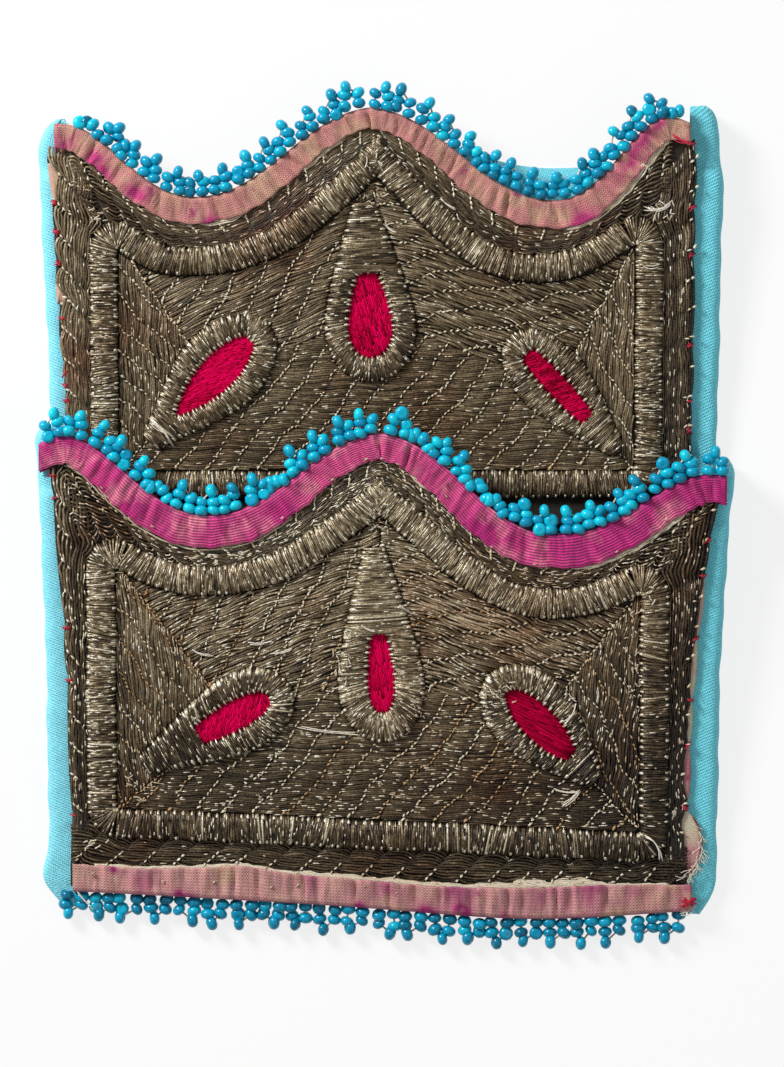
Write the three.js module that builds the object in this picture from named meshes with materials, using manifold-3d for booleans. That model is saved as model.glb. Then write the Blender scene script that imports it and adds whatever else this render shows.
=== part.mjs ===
// A flat pouch of two pockets, lying on its back. Each pocket is a panel of couched metal thread with a
// scalloped mouth bound in gathered silk and edged with loops of glass beads. Folded cotton gussets join
// the sides of both panels to a plain cotton back.
// +X is to the right of the front, +Y runs up to the upper mouth and +Z comes out of the front.

import * as THREE from 'three';
import { mergeVertices } from 'three/addons/utils/BufferGeometryUtils.js';
import Module from 'manifold-3d';

const wasm = await Module();
wasm.setup();

// Cloth and thread, in millimetres
const COTTON = 0.6; // folded cotton of the back and the gussets
const RIBBON = 0.45; // silk ribbon of the bindings
const GROUND = 1.0; // panel of ground cloth with its laid metal thread
const SEAT = 0.3; // gap between neighbouring pieces
const FOLD_GAP = 0.4; // space left inside a gusset where it is flattest

// Silk bindings
const BINDING_WIDTH = 5.0; // at the two mouths
const HEM_WIDTH = 5.6; // at the bottom edge
const FOLD_ROUND = 0.7; // rounding at the ribbon's fold
const BINDING_REACH = 9.6; // how far below its mouth's corner a binding can reach
const GATHER = 0.35; // height of a gather
const GATHER_PITCH = 3.2;

// Padded satin-stitch work on the panels
const RIDGE_WIDTH = 4.4;
const RIDGE_HEIGHT = 1.3;
const BAND_WIDTH = 4.1; // satin band around a silk leaf
const BAND_HEIGHT = 1.2;
const LEAF_HEIGHT = 0.7;
const LEAF_TAPER = 0.3; // how much slimmer a leaf is towards its stem
const STEM_TAPER = 0.48; // the same for the band that runs out into the stem

// Rows of couching stitches, which draw the laid thread down into shallow grooves
const GROOVE_WIDTH = 0.9;
const GROOVE_DEPTH = 0.3;

// Bead loops: two beads up, one across the tip and two down
const BEAD_RADIUS = 0.98;
const BEAD_LENGTH = 1.62;
const BEAD_WAIST = 0.45; // radius between two beads
const THREAD_RADIUS = 0.2;
const COLUMN_GAP = 2.6; // between the two columns of a loop
const TIP_LEAN = 0.5; // how far a tip bead leans to one column
const LOOP_UPRIGHT = 0.65; // 0 stands square to the edge, 1 stands along the pouch

// Back and gussets
const BACK_LEG = 2.8; // narrowest back leg of a gusset, from the back's edge to its outer fold
const GUSSET_COVER = 7.5; // how far a gusset reaches in under the panel
const GUSSET_FOLD = 0.5; // rounding at its outer fold
const GUSSET_OVERRUN = 1.6; // how far the upper gussets run past the upper panel
const CORNER_DEPTH = 8; // height of the corners beside the bottom binding
const CORNER_CLEAR = 0.8; // between the end of that binding and its corners

// Bottom edge of the pouch, the fold of its silk binding, from left to right
const BOTTOM_FOLD = [[-53.6, -66.4], [-10, -68.9], [25, -71.3], [52.2, -69.9]];
const BOTTOM_BEAD_RISE = 1.15; // bead centres above the surface that the pouch lies on
const BOTTOM_LOOPS = 20;

const PANEL_SEAT = 2 * COTTON + FOLD_GAP + SEAT; // underside of a panel at its foot

// Places on a panel are measured along it: x across and y up from the foot of the panel
const UPPER = {
  name: 'upper',
  footY: -2.0,
  tilt: 4.8,
  edge: {
    ends: [[-57.0, 70.3], [52.0, 71.0]],
    dips: [[-33.2, 57.6], [29.6, 57.0]],
    peak: [-2.4, 73.2],
    endSlope: 0.5,
    peakSlope: 0.1,
  },
  ridge: {
    ends: [[-52.6, 55.6], [48.6, 55.4]],
    dips: [[-35.6, 46.3], [26.6, 45.1]],
    peak: [-1.5, 64.6],
    endSlope: 0.6,
    peakSlope: 1.0,
    sides: [-49.2, 46.2],
    rail: 7.2,
  },
  panel: { mouth: [-59.0, 54.1], foot: [-55.2, 53.5], flare: 1.2 },
  gusset: { mouth: [-61.2, 59.6], foot: [-58.5, 58.3], flare: 1.6, top: [68.8, 71.2] },
  loops: 26,
  drops: [
    { name: 'left', at: [-30.2, 25.9], turn: 225.6, length: 19.6, width: 6.6, stem: 6.0 },
    { name: 'centre', at: [-2.7, 36.9], turn: 93, length: 15.4, width: 7.6, stem: 12.3 },
    { name: 'right', at: [30.2, 24.5], turn: -47, length: 16.6, width: 4.2, stem: 7.6 },
  ],
  couching: [
    { from: [-40.0, 11.2], step: [5.2, 0], run: [9.0, 10.4], count: 14 },
    { from: [-44.6, 44.0], step: [0, -5.2], run: [5.6, -5.8], count: 3 },
    { from: [-32.0, 36.6], step: [5.0, 1.0], run: [4.0, 7.2], count: 4 },
    { from: [8.6, 44.8], step: [1.9, -4.6], run: [14.5, 1.8], count: 3 },
    { from: [41.6, 44.6], step: [0, -5.2], run: [-5.0, -6.0], count: 3 },
  ],
};

const LOWER = {
  name: 'lower',
  footY: -70.4,
  tilt: 5.8,
  edge: {
    ends: [[-59.8, 83.2], [59.2, 77.4]],
    dips: [[-30.6, 70.6], [29.6, 67.2]],
    peak: [-0.9, 84.9],
    endSlope: 0.36,
    peakSlope: 0.1,
  },
  ridge: {
    ends: [[-53.0, 67.4], [48.6, 61.6]],
    dips: [[-31.5, 59.0], [29.0, 55.0]],
    peak: [-0.9, 73.6],
    endSlope: 0.5,
    peakSlope: 0.75,
    sides: [-49.6, 47.1],
    rail: 14.2,
    railSkew: -0.047,
  },
  panel: { mouth: [-59.0, 58.6], foot: [-54.8, 52.8], flare: 2.6 },
  gusset: { mouth: [-61.2, 61.2], foot: [-59.2, 58.4], flare: 3.2, top: [15.2, 9.8] },
  loops: 26,
  drops: [
    { name: 'left', at: [-26.5, 35.2], turn: 208.7, length: 14.6, width: 5.4, stem: 11.0 },
    { name: 'centre', at: [-0.8, 42.8], turn: 93, length: 14.4, width: 4.9, stem: 15.2 },
    { name: 'right', at: [27.0, 33.9], turn: -45.5, length: 16.6, width: 6.0, stem: 5.8 },
  ],
  couching: [
    { from: [-39.6, 20.4], step: [5.2, -0.25], run: [9.0, 9.6], count: 14 },
    { from: [-44.8, 56.4], step: [0, -5.2], run: [5.8, -5.8], count: 4 },
    { from: [-30.0, 48.2], step: [5.0, 1.2], run: [4.0, 7.6], count: 4 },
    { from: [9.6, 55.4], step: [1.9, -4.6], run: [13.5, 1.8], count: 3 },
    { from: [42.4, 53.6], step: [0, -5.2], run: [-5.2, -6.0], count: 3 },
  ],
};

// Half widths of the back and between the corners, from the folds and the binding that they meet
const halves = (places) => places.map(Math.abs);
const BACK_HALF = Math.min(...halves(UPPER.gusset.foot), ...halves(LOWER.gusset.foot)) - BACK_LEG;
const CORNER_HALF = Math.max(...halves(BOTTOM_FOLD.map(([x]) => x))) + CORNER_CLEAR;

// The back's own top edge, which shows only in the right-hand dip of the upper mouth
const BACK_TOP = {
  ends: [[-BACK_HALF, 64.6], [BACK_HALF, 66.0]],
  dips: [[-33.0, 54.2], [29.6, 60.8]],
  peak: [-2.4, 68.6],
  endSlope: 0.3,
  peakSlope: 0.1,
};

// Sampling
const EDGE_STEPS = 44;
const SIDE_STEPS = 5;
const DROP_STEPS = 18;
const RIDGE_STEP = 4.5;

const cotton = new THREE.MeshStandardMaterial({ color: 0x62bfd2, roughness: 0.9, metalness: 0 });
const laidThread = new THREE.MeshStandardMaterial({ color: 0x5b5142, roughness: 0.55, metalness: 0.35 });
const satinThread = new THREE.MeshStandardMaterial({ color: 0x7b715e, roughness: 0.45, metalness: 0.45 });
const leafSilk = new THREE.MeshStandardMaterial({ color: 0xc4064a, roughness: 0.5, metalness: 0 });
const brightSilk = new THREE.MeshStandardMaterial({ color: 0xa52d86, roughness: 0.55, metalness: 0 });
const fadedSilk = new THREE.MeshStandardMaterial({ color: 0xa9717f, roughness: 0.65, metalness: 0 });
const beadGlass = new THREE.MeshStandardMaterial({ color: 0x1a9fcb, roughness: 0.2, metalness: 0 });

const { degToRad, lerp } = THREE.MathUtils;

// Repeatable scatter between -1 and 1
function scatter(i) {
  const wide = Math.sin(i * 12.9898) * 43758.5453;
  return 2 * (wide - Math.floor(wide)) - 1;
}

// Turns every triangle round if the closed geometry faces inwards
function facingOut(positions, index) {
  const corner = (i) => new THREE.Vector3().fromArray(positions, 3 * index[i]);
  let volume = 0;
  for (let i = 0; i < index.length; i += 3) {
    volume += corner(i).dot(corner(i + 1).cross(corner(i + 2)));
  }
  if (volume < 0) index.reverse();
  const geometry = new THREE.BufferGeometry();
  geometry.setAttribute('position', new THREE.Float32BufferAttribute(positions, 3));
  geometry.setIndex(index);
  return geometry;
}

// Skins rows of points, each row a closed section. A ring joins its last row to its first, and
// anything else is capped with the faces of its flat profile.
function loft(rows, profile = null) {
  const size = rows[0].length;
  const index = [];
  const spans = profile ? rows.length - 1 : rows.length;
  for (let i = 0; i < spans; i++) {
    const a = i * size;
    const b = ((i + 1) % rows.length) * size;
    for (let j = 0; j < size; j++) {
      const k = (j + 1) % size;
      index.push(a + j, a + k, b + k, a + j, b + k, b + j);
    }
  }
  if (profile) {
    const flat = profile.map(([x, y]) => new THREE.Vector2(x, y));
    const turned = THREE.ShapeUtils.isClockWise(flat);
    const far = (rows.length - 1) * size;
    for (const face of THREE.ShapeUtils.triangulateShape(flat, [])) {
      const [i, j, k] = turned ? [...face].reverse() : face;
      index.push(k, j, i, far + i, far + j, far + k);
    }
  }
  return facingOut(rows.flat().flatMap((p) => p.toArray()), index);
}

function solidOf(geometry) {
  const bare = geometry.clone();
  bare.deleteAttribute('normal');
  bare.deleteAttribute('uv');
  const merged = mergeVertices(bare, 1e-4);
  return new wasm.Manifold(new wasm.Mesh({
    numProp: 3,
    vertProperties: merged.attributes.position.array,
    triVerts: new Uint32Array(merged.index.array),
  }));
}

function geometryOf(solid) {
  const mesh = solid.getMesh();
  const geometry = new THREE.BufferGeometry();
  geometry.setAttribute('position', new THREE.BufferAttribute(mesh.vertProperties, 3));
  geometry.setIndex(new THREE.BufferAttribute(mesh.triVerts, 1));
  return geometry;
}

function named(name, geometry, material) {
  const mesh = new THREE.Mesh(geometry, material);
  mesh.name = name;
  return mesh;
}

// Scalloped edge from left to right: end, dip, peak, dip, end
function scallop({ ends, dips, peak, endSlope, peakSlope }) {
  const knots = [
    { at: ends[0], into: 0, out: -endSlope },
    { at: dips[0], into: 0, out: 0 },
    { at: peak, into: peakSlope, out: -peakSlope },
    { at: dips[1], into: 0, out: 0 },
    { at: ends[1], into: endSlope, out: 0 },
  ];
  const path = new THREE.CurvePath();
  for (let i = 0; i + 1 < knots.length; i++) {
    const [x0, y0] = knots[i].at;
    const [x1, y1] = knots[i + 1].at;
    const reach = 0.4 * (x1 - x0);
    path.add(new THREE.CubicBezierCurve(
      new THREE.Vector2(x0, y0),
      new THREE.Vector2(x0 + reach, y0 + reach * knots[i].out),
      new THREE.Vector2(x1 - reach, y1 - reach * knots[i + 1].into),
      new THREE.Vector2(x1, y1),
    ));
  }
  return path;
}

// Point beside a path that runs from left to right: out is up and away from the pouch
function beside(path, t, out) {
  const p = path.getPoint(t);
  const along = path.getTangent(t);
  return new THREE.Vector2(p.x - along.y * out, p.y + along.x * out);
}

const bottomFold = new THREE.SplineCurve(BOTTOM_FOLD.map(([x, y]) => new THREE.Vector2(x, y)));

const side = (name) => (name === 'left' ? 0 : 1);
const sideSign = (name) => (name === 'left' ? -1 : 1);
const mouthHeight = (tier, name) => tier.edge.ends[side(name)][1];

// X of a panel's side at a height along the panel
function panelSide(tier, name, v) {
  const { mouth, foot, flare } = tier.panel;
  const share = THREE.MathUtils.clamp(v / mouthHeight(tier, name), 0, 1) ** flare;
  return lerp(foot[side(name)], mouth[side(name)], share);
}

// X of a gusset's outer fold at a height of the pouch
function gussetFold(tier, name, y) {
  const { mouth, foot, flare } = tier.gusset;
  const share = THREE.MathUtils.clamp((y - tier.footY) / mouthHeight(tier, name), 0, 1) ** flare;
  return lerp(foot[side(name)], mouth[side(name)], share);
}

// Height of the underside of a tier's panel, and of its face
const underPanel = (tier, y) => PANEL_SEAT + (y - tier.footY) * Math.tan(degToRad(tier.tilt));
const overPanel = (tier, y) => underPanel(tier, y) + GROUND / Math.cos(degToRad(tier.tilt));

// Foot of a panel: straight for the upper one, along the bottom binding for the lower one
const hemInset = RIBBON + SEAT + FOLD_ROUND / 2;
function footLine(tier) {
  if (tier === UPPER) return [[tier.panel.foot[0], 0], [tier.panel.foot[1], 0]];
  const line = bottomFold.getPoints(8).map((p) => [p.x, p.y - tier.footY + hemInset]);
  line[0][0] = tier.panel.foot[0];
  line[line.length - 1][0] = tier.panel.foot[1];
  return line;
}

// Embroidered panel: the ground with its laid thread, grooved by the rows of couching
function panel(tier) {
  const edge = scallop(tier.edge);
  const inset = -(RIBBON + FOLD_ROUND / 2 + SEAT);
  const mouth = [];
  for (let i = EDGE_STEPS; i >= 0; i--) {
    const p = beside(edge, i / EDGE_STEPS, inset);
    const within = p.x > panelSide(tier, 'left', p.y) + SEAT && p.x < panelSide(tier, 'right', p.y) - SEAT;
    if (within) mouth.push(p.toArray());
  }
  const foot = footLine(tier);
  const flank = (name, low, high) => Array.from({ length: SIDE_STEPS }, (unused, i) => {
    const v = lerp(low, high, (i + 1) / SIDE_STEPS);
    return [panelSide(tier, name, v), v];
  });
  const outline = [
    ...foot,
    ...flank('right', foot.at(-1)[1], mouth.at(0)[1]),
    ...mouth,
    ...flank('left', foot.at(0)[1], mouth.at(-1)[1]).reverse(),
  ];
  const shape = new THREE.Shape(outline.map(([x, y]) => new THREE.Vector2(x, y)));
  const slab = new THREE.ExtrudeGeometry(shape, { depth: GROUND, bevelEnabled: false });
  let solid = solidOf(slab);
  for (const row of tier.couching) {
    for (let i = 0; i < row.count; i++) {
      const start = [row.from[0] + i * row.step[0], row.from[1] + i * row.step[1]];
      solid = solid.subtract(solidOf(groove(start, row.run)));
    }
  }
  return named(`${tier.name}_panel`, geometryOf(solid), laidThread);
}

// V-shaped cutter along one row of couching stitches
function groove([x, y], [dx, dy]) {
  const start = new THREE.Vector3(x, y, GROUND);
  const end = new THREE.Vector3(x + dx, y + dy, GROUND);
  const across = new THREE.Vector3(-dy, dx, 0).setLength(GROOVE_WIDTH / 2);
  const profile = [[-1, SEAT], [0, -GROOVE_DEPTH], [1, SEAT]];
  const section = (p) => profile.map(([a, w]) => p.clone().addScaledVector(across, a * 2)
    .add(new THREE.Vector3(0, 0, w)));
  return loft([section(start), section(end)], profile);
}

// Half-round padded ridge along a line of points on a panel
const RIDGE_PROFILE = [[-0.5, 0], [-0.36, 0.72], [0, 1], [0.36, 0.72], [0.5, 0]];
function ridge(name, points) {
  const rows = points.map((p, i) => {
    const before = points[Math.max(i - 1, 0)];
    const after = points[Math.min(i + 1, points.length - 1)];
    const across = new THREE.Vector2(before.y - after.y, after.x - before.x).setLength(RIDGE_WIDTH);
    return RIDGE_PROFILE.map(([a, h]) => new THREE.Vector3(
      p.x + a * across.x,
      p.y + a * across.y,
      GROUND + SEAT + h * RIDGE_HEIGHT,
    ));
  });
  return named(name, loft(rows, RIDGE_PROFILE), satinThread);
}

// Five ridges frame the embroidered field: two along the scalloped mouth, two sides and a rail
function frameRidges(tier) {
  const { ridge: frame, name } = tier;
  const half = RIDGE_WIDTH / 2;
  const skew = frame.railSkew ?? 0;
  const wave = scallop(frame);
  const steps = Math.round(wave.getLength() / RIDGE_STEP);
  const crest = Array.from({ length: steps + 1 }, (unused, i) => wave.getPoint(i / steps));
  const mitre = new THREE.Vector2(half + SEAT, (half + SEAT) * frame.peakSlope);
  const [peakX, peakY] = frame.peak;
  const leftHalf = crest.filter((p) => p.x < peakX - 2 * mitre.x);
  leftHalf.push(new THREE.Vector2(peakX - mitre.x, peakY - mitre.y));
  const rightHalf = crest.filter((p) => p.x > peakX + 2 * mitre.x);
  rightHalf.unshift(new THREE.Vector2(peakX + mitre.x, peakY - mitre.y));
  const rail = (x) => frame.rail + skew * x;
  const flank = (sideName) => {
    const x = frame.sides[side(sideName)];
    const reach = half + SEAT;
    const low = rail(x) + reach + Math.abs(skew) * half;
    const near = crest.filter((p) => Math.abs(p.x - x) < RIDGE_WIDTH + half);
    const high = Math.min(...near.map((p) => p.y)) - reach;
    return ridge(`${name}_ridge_${sideName}`, [new THREE.Vector2(x, low), new THREE.Vector2(x, high)]);
  };
  const ends = frame.sides.map((x) => x + Math.sign(x) * half);
  return [
    ridge(`${name}_ridge_top_left`, leftHalf),
    ridge(`${name}_ridge_top_right`, rightHalf),
    flank('left'),
    flank('right'),
    ridge(`${name}_ridge_bottom`, ends.map((x) => new THREE.Vector2(x, rail(x)))),
  ];
}

// Outline of a drop in its own frame, with its stem along +X, at a turn about its middle
function dropPoint(length, width, tip, taper, angle) {
  const lean = Math.cos(angle);
  const reach = lean > 0 ? tip : length / 2;
  return new THREE.Vector2(reach * lean, (width / 2) * Math.sin(angle) * (1 - taper * lean));
}

// Silk leaf and the padded satin band around it
const BAND_PROFILE = [[0, 0], [0.12, 0.72], [0.5, 1], [0.86, 0.66], [1, 0]];
function drop(tier, spec) {
  const floor = GROUND + SEAT;
  const angles = Array.from({ length: DROP_STEPS }, (unused, i) => (2 * Math.PI * i) / DROP_STEPS);
  const leafEdge = angles.map((a) => dropPoint(spec.length, spec.width, spec.length / 2, LEAF_TAPER, a));
  const bandEdge = angles.map((a) => dropPoint(
    spec.length + 2 * BAND_WIDTH,
    spec.width + 2 * BAND_WIDTH,
    spec.length / 2 + spec.stem,
    STEM_TAPER,
    a,
  ));
  const place = (p, w) => {
    const turned = p.clone().rotateAround(new THREE.Vector2(), degToRad(spec.turn));
    return new THREE.Vector3(spec.at[0] + turned.x, spec.at[1] + turned.y, w);
  };
  const band = leafEdge.map((p, i) => BAND_PROFILE.map(
    ([s, h]) => place(p.clone().lerp(bandEdge[i], s), floor + h * BAND_HEIGHT),
  ));
  const inside = (p, gap) => p.clone().multiplyScalar(1 - gap / (spec.width / 2));
  const rim = leafEdge.map((p) => inside(p, SEAT));
  const crown = leafEdge.map((p) => inside(p, SEAT + LEAF_HEIGHT));
  const leaf = loft([
    rim.map((p) => place(p, floor)),
    rim.map((p) => place(p, floor + LEAF_HEIGHT / 2)),
    crown.map((p) => place(p, floor + LEAF_HEIGHT)),
  ], rim.map((p) => p.toArray()));
  return [
    named(`${tier.name}_satin_band_${spec.name}`, loft(band), satinThread),
    named(`${tier.name}_silk_leaf_${spec.name}`, leaf, leafSilk),
  ];
}

// Gathers lift every second section of a ribbon, each by its own amount
const gather = (i) => (i % 2) * GATHER * (0.8 + 0.2 * scatter(i));

// Silk ribbon folded over the scalloped edge of a panel
function mouthBinding(tier) {
  const edge = scallop(tier.edge);
  const front = GROUND + SEAT + RIBBON;
  const back = -SEAT - RIBBON;
  const inner = -(RIBBON + FOLD_ROUND / 2);
  const profile = (lift) => [
    [-BINDING_WIDTH, front],
    [-FOLD_ROUND, front + lift],
    [0, GROUND / 2],
    [-FOLD_ROUND, back],
    [-BINDING_WIDTH, back],
    [-BINDING_WIDTH, back + RIBBON],
    [inner, back + RIBBON],
    [inner, front - RIBBON],
    [-BINDING_WIDTH, front - RIBBON],
  ];
  const steps = Math.round(edge.getLength() / GATHER_PITCH);
  const rows = Array.from({ length: steps + 1 }, (unused, i) => profile(gather(i)).map(([out, w]) => {
    const cut = i === 0 || i === steps;
    const p = cut ? edge.getPoint(i / steps).add(new THREE.Vector2(0, out)) : beside(edge, i / steps, out);
    return new THREE.Vector3(p.x, p.y, w);
  }));
  const silk = tier === UPPER ? fadedSilk : brightSilk;
  return named(`${tier.name}_edge_binding`, loft(rows, profile(0)), silk);
}

// Silk ribbon folded over the bottom edge. Its back leg lies level with the cotton back.
function bottomBinding() {
  const inner = RIBBON + FOLD_ROUND / 2;
  const section = (fold, lift) => {
    const face = (out) => overPanel(LOWER, fold + out) + SEAT + RIBBON;
    return [
      [fold + HEM_WIDTH, 0],
      [fold + FOLD_ROUND, 0],
      [fold, FOLD_ROUND],
      [fold, face(0) - FOLD_ROUND],
      [fold + FOLD_ROUND, face(FOLD_ROUND) + lift],
      [fold + HEM_WIDTH, face(HEM_WIDTH)],
      [fold + HEM_WIDTH, face(HEM_WIDTH) - RIBBON],
      [fold + inner, face(inner) - RIBBON],
      [fold + inner, RIBBON],
      [fold + HEM_WIDTH, RIBBON],
    ];
  };
  const steps = Math.round(bottomFold.getLength() / GATHER_PITCH);
  const rows = Array.from({ length: steps + 1 }, (unused, i) => {
    const { x, y } = bottomFold.getPointAt(i / steps);
    return section(y, gather(i)).map(([py, pz]) => new THREE.Vector3(x, py, pz));
  });
  return named('bottom_edge_binding', loft(rows, section(BOTTOM_FOLD[0][1], 0)), fadedSilk);
}

// Folded cotton side: a back leg level with the back, an outer fold and a front leg under the panel. The
// front leg steps down under the mouth's binding. A lower gusset is slimmer at the foot, beside the bottom
// binding, and its back leg is cut short where it passes outside the upper gusset.
function gusset(tier, name) {
  const lower = tier === LOWER;
  const top = tier.gusset.top[side(name)];
  const step = COTTON;
  const bound = tier.footY + mouthHeight(tier, name) - BINDING_REACH;
  const upperEnd = UPPER.footY - GUSSET_OVERRUN;
  const foot = lower ? BOTTOM_FOLD.at(-side(name))[1] - RIBBON : upperEnd;
  const corner = foot + CORNER_DEPTH;
  const passing = upperEnd - SEAT;
  const breaks = lower ? [corner, corner + step, passing - step, passing] : [tier.footY];
  const stations = [foot, ...breaks, bound, bound + step, lerp(bound + step, top, 0.5), top];
  const first = lower ? corner + step : tier.footY;
  const end = lower ? passing - step : bound;
  for (let i = 1; i < SIDE_STEPS; i++) stations.push(lerp(first, end, i / SIDE_STEPS));
  stations.sort((a, b) => a - b);
  const section = (y) => {
    const outer = Math.abs(gussetFold(tier, name, y));
    const besideUpper = lower && y >= passing;
    const back = besideUpper ? Math.abs(gussetFold(UPPER, name, y)) + SEAT : BACK_HALF + SEAT;
    const front = lower && y <= corner ? CORNER_HALF : outer - GUSSET_COVER;
    const tuck = y > bound ? RIBBON + SEAT : 0;
    const high = underPanel(tier, y) - SEAT - tuck;
    return [
      [back, 0],
      [outer - GUSSET_FOLD, 0],
      [outer, GUSSET_FOLD],
      [outer, high - GUSSET_FOLD],
      [outer - GUSSET_FOLD, high],
      [front, high],
      [front, high - COTTON],
      [outer - COTTON, high - COTTON],
      [outer - COTTON, COTTON],
      [back, COTTON],
    ];
  };
  const sign = sideSign(name);
  const rows = stations.map((y) => section(y).map(([x, z]) => new THREE.Vector3(sign * x, y, z)));
  return named(`${tier.name}_gusset_${name}`, loft(rows, section(foot)), cotton);
}

// Plain cotton back between the legs of the gussets and of the bottom binding
function back() {
  const outline = bottomFold.getPoints(8).map((p) => [p.x, p.y + HEM_WIDTH + SEAT]);
  outline[0][0] = -BACK_HALF;
  outline[outline.length - 1][0] = BACK_HALF;
  const top = scallop(BACK_TOP);
  for (let i = EDGE_STEPS / 2; i >= 0; i--) outline.push(top.getPoint((2 * i) / EDGE_STEPS).toArray());
  const shape = new THREE.Shape(outline.map(([x, y]) => new THREE.Vector2(x, y)));
  return named('back_cloth', new THREE.ExtrudeGeometry(shape, { depth: COTTON, bevelEnabled: false }), cotton);
}

// One string of bead loops along an edge, threaded from loop to loop. The string is four-sided, wide at
// each bead and narrow between them.
function beadString(name, edge, out, count, level) {
  const length = edge.getLength();
  const floor = SEAT + THREAD_RADIUS;
  const up = new THREE.Vector2(0, out);
  const stations = [];
  const add = (t, height, radius) => {
    const foot = edge.getPoint(t);
    const square = beside(edge, t, out).sub(foot);
    const stand = square.lerp(up, LOOP_UPRIGHT).normalize();
    stations.push({ p: foot.addScaledVector(stand, height), radius });
  };
  for (let k = 0; k < count; k++) {
    const middle = (k + 0.5) / count;
    const reach = COLUMN_GAP / 2 / length;
    const tip = middle + ((k % 2 ? 1 : -1) * TIP_LEAN) / length;
    const stretch = BEAD_LENGTH * (1 + 0.04 * scatter(k));
    const first = floor + stretch / 2;
    add(middle - reach, first, BEAD_RADIUS);
    add(middle - reach, first + stretch / 2, BEAD_WAIST);
    add(middle - reach, first + stretch, BEAD_RADIUS);
    add(middle - reach / 2, first + 1.45 * stretch, BEAD_WAIST);
    add(tip, first + 1.8 * stretch, BEAD_RADIUS);
    add(middle + reach / 2, first + 1.45 * stretch, BEAD_WAIST);
    add(middle + reach, first + stretch, BEAD_RADIUS);
    add(middle + reach, first + stretch / 2, BEAD_WAIST);
    add(middle + reach, first, BEAD_RADIUS);
    if (k + 1 < count) add((k + 1) / count, floor, THREAD_RADIUS);
  }
  const rows = stations.map(({ p, radius }, i) => {
    const before = stations[Math.max(i - 1, 0)].p;
    const after = stations[Math.min(i + 1, stations.length - 1)].p;
    const across = new THREE.Vector2(before.y - after.y, after.x - before.x).setLength(radius);
    return [
      new THREE.Vector3(p.x + across.x, p.y + across.y, level),
      new THREE.Vector3(p.x, p.y, level + radius),
      new THREE.Vector3(p.x - across.x, p.y - across.y, level),
      new THREE.Vector3(p.x, p.y, level - radius),
    ];
  });
  const profile = [[1, 0], [0, 1], [-1, 0], [0, -1]];
  return named(name, loft(rows, profile), beadGlass);
}

// A pocket: its panel and everything sewn to it, tilted up from its foot so that its mouth stands open
function pocket(tier) {
  const group = new THREE.Group();
  group.position.set(0, tier.footY, PANEL_SEAT);
  group.rotation.x = degToRad(tier.tilt);
  group.add(panel(tier), ...frameRidges(tier), ...tier.drops.flatMap((spec) => drop(tier, spec)));
  group.add(mouthBinding(tier));
  group.add(beadString(`${tier.name}_bead_edging`, scallop(tier.edge), 1, tier.loops, GROUND / 2));
  return group;
}

const pouch = new THREE.Group();
pouch.add(back(), bottomBinding(), pocket(UPPER), pocket(LOWER));
for (const tier of [UPPER, LOWER]) {
  for (const name of ['left', 'right']) pouch.add(gusset(tier, name));
}
pouch.add(beadString('bottom_bead_edging', bottomFold, -1, BOTTOM_LOOPS, BOTTOM_BEAD_RISE));

export default pouch;
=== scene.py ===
"""Looks of a flat pouch with two embroidered pockets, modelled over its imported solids.

Places on a panel are flat pairs in millimetres, x across and v up from the panel's foot, as in the part's
source, with a rise above the panel's underside. Finished meshes are in metres.
"""

import logging
import math
from collections.abc import Callable, Mapping, Sequence
from dataclasses import dataclass
from enum import Enum
from functools import partial

import bpy
import numpy as np
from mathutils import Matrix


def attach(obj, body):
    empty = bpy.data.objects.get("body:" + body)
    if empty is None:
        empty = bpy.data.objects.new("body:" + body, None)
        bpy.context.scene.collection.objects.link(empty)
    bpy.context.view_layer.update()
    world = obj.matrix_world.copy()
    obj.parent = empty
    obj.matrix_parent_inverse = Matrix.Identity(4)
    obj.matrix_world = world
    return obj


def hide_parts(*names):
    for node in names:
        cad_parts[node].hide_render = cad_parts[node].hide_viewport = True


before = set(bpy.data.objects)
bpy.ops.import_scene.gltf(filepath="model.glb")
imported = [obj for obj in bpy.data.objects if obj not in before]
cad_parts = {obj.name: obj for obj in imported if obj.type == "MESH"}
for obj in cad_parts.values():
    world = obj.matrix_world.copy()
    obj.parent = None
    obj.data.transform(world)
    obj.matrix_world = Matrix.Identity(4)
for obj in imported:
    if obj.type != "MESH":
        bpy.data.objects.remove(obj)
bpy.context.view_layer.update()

LOG = logging.getLogger("pouch")
MM = 0.001
BODY = "root"
UNIT = (0.0, 1.0)
WAVE_SPAN = (-1.0, 1.0)
NOISE_SPAN = (0.3, 0.7)
FLECK = np.linspace(-0.5, 0.5, 4)
Array = np.ndarray
Piece = bpy.types.Object
Material = bpy.types.Material
Socket = bpy.types.NodeSocket
Pair = tuple[float, float]
Spots = tuple[tuple[float, float, float], ...]
Colour = tuple[float, float, float, float]
Stops = Sequence[tuple[float, Colour]]


class Side(Enum):
    """The two sides of the pouch, as seen from the front."""

    LEFT = 0
    RIGHT = 1

    @property
    def sign(self) -> float:
        """Direction of this side along X."""
        return -1.0 if self is Side.LEFT else 1.0

    @property
    def word(self) -> str:
        """Plain name of this side."""
        return self.name.lower()


class Quarter(Enum):
    """The stretches of a field between its leaves and its frame."""

    WEST = "west"
    EAST = "east"
    SOUTH = "south"
    NORTH_WEST = "north_west"
    NORTH_EAST = "north_east"


class Hang(Enum):
    """How a loop of five beads hangs."""

    LEFT = "tip over the left column"
    RIGHT = "tip over the right column"
    FLAT = "two beads lying along the edge"


class Slot(Enum):
    """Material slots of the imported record."""

    COTTON = "cotton"
    LAID = "laid_thread"
    SATIN = "satin_thread"
    LEAF = "leaf_silk"
    BRIGHT = "bright_silk"
    FADED = "faded_silk"
    BEAD = "bead_glass"


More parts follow.
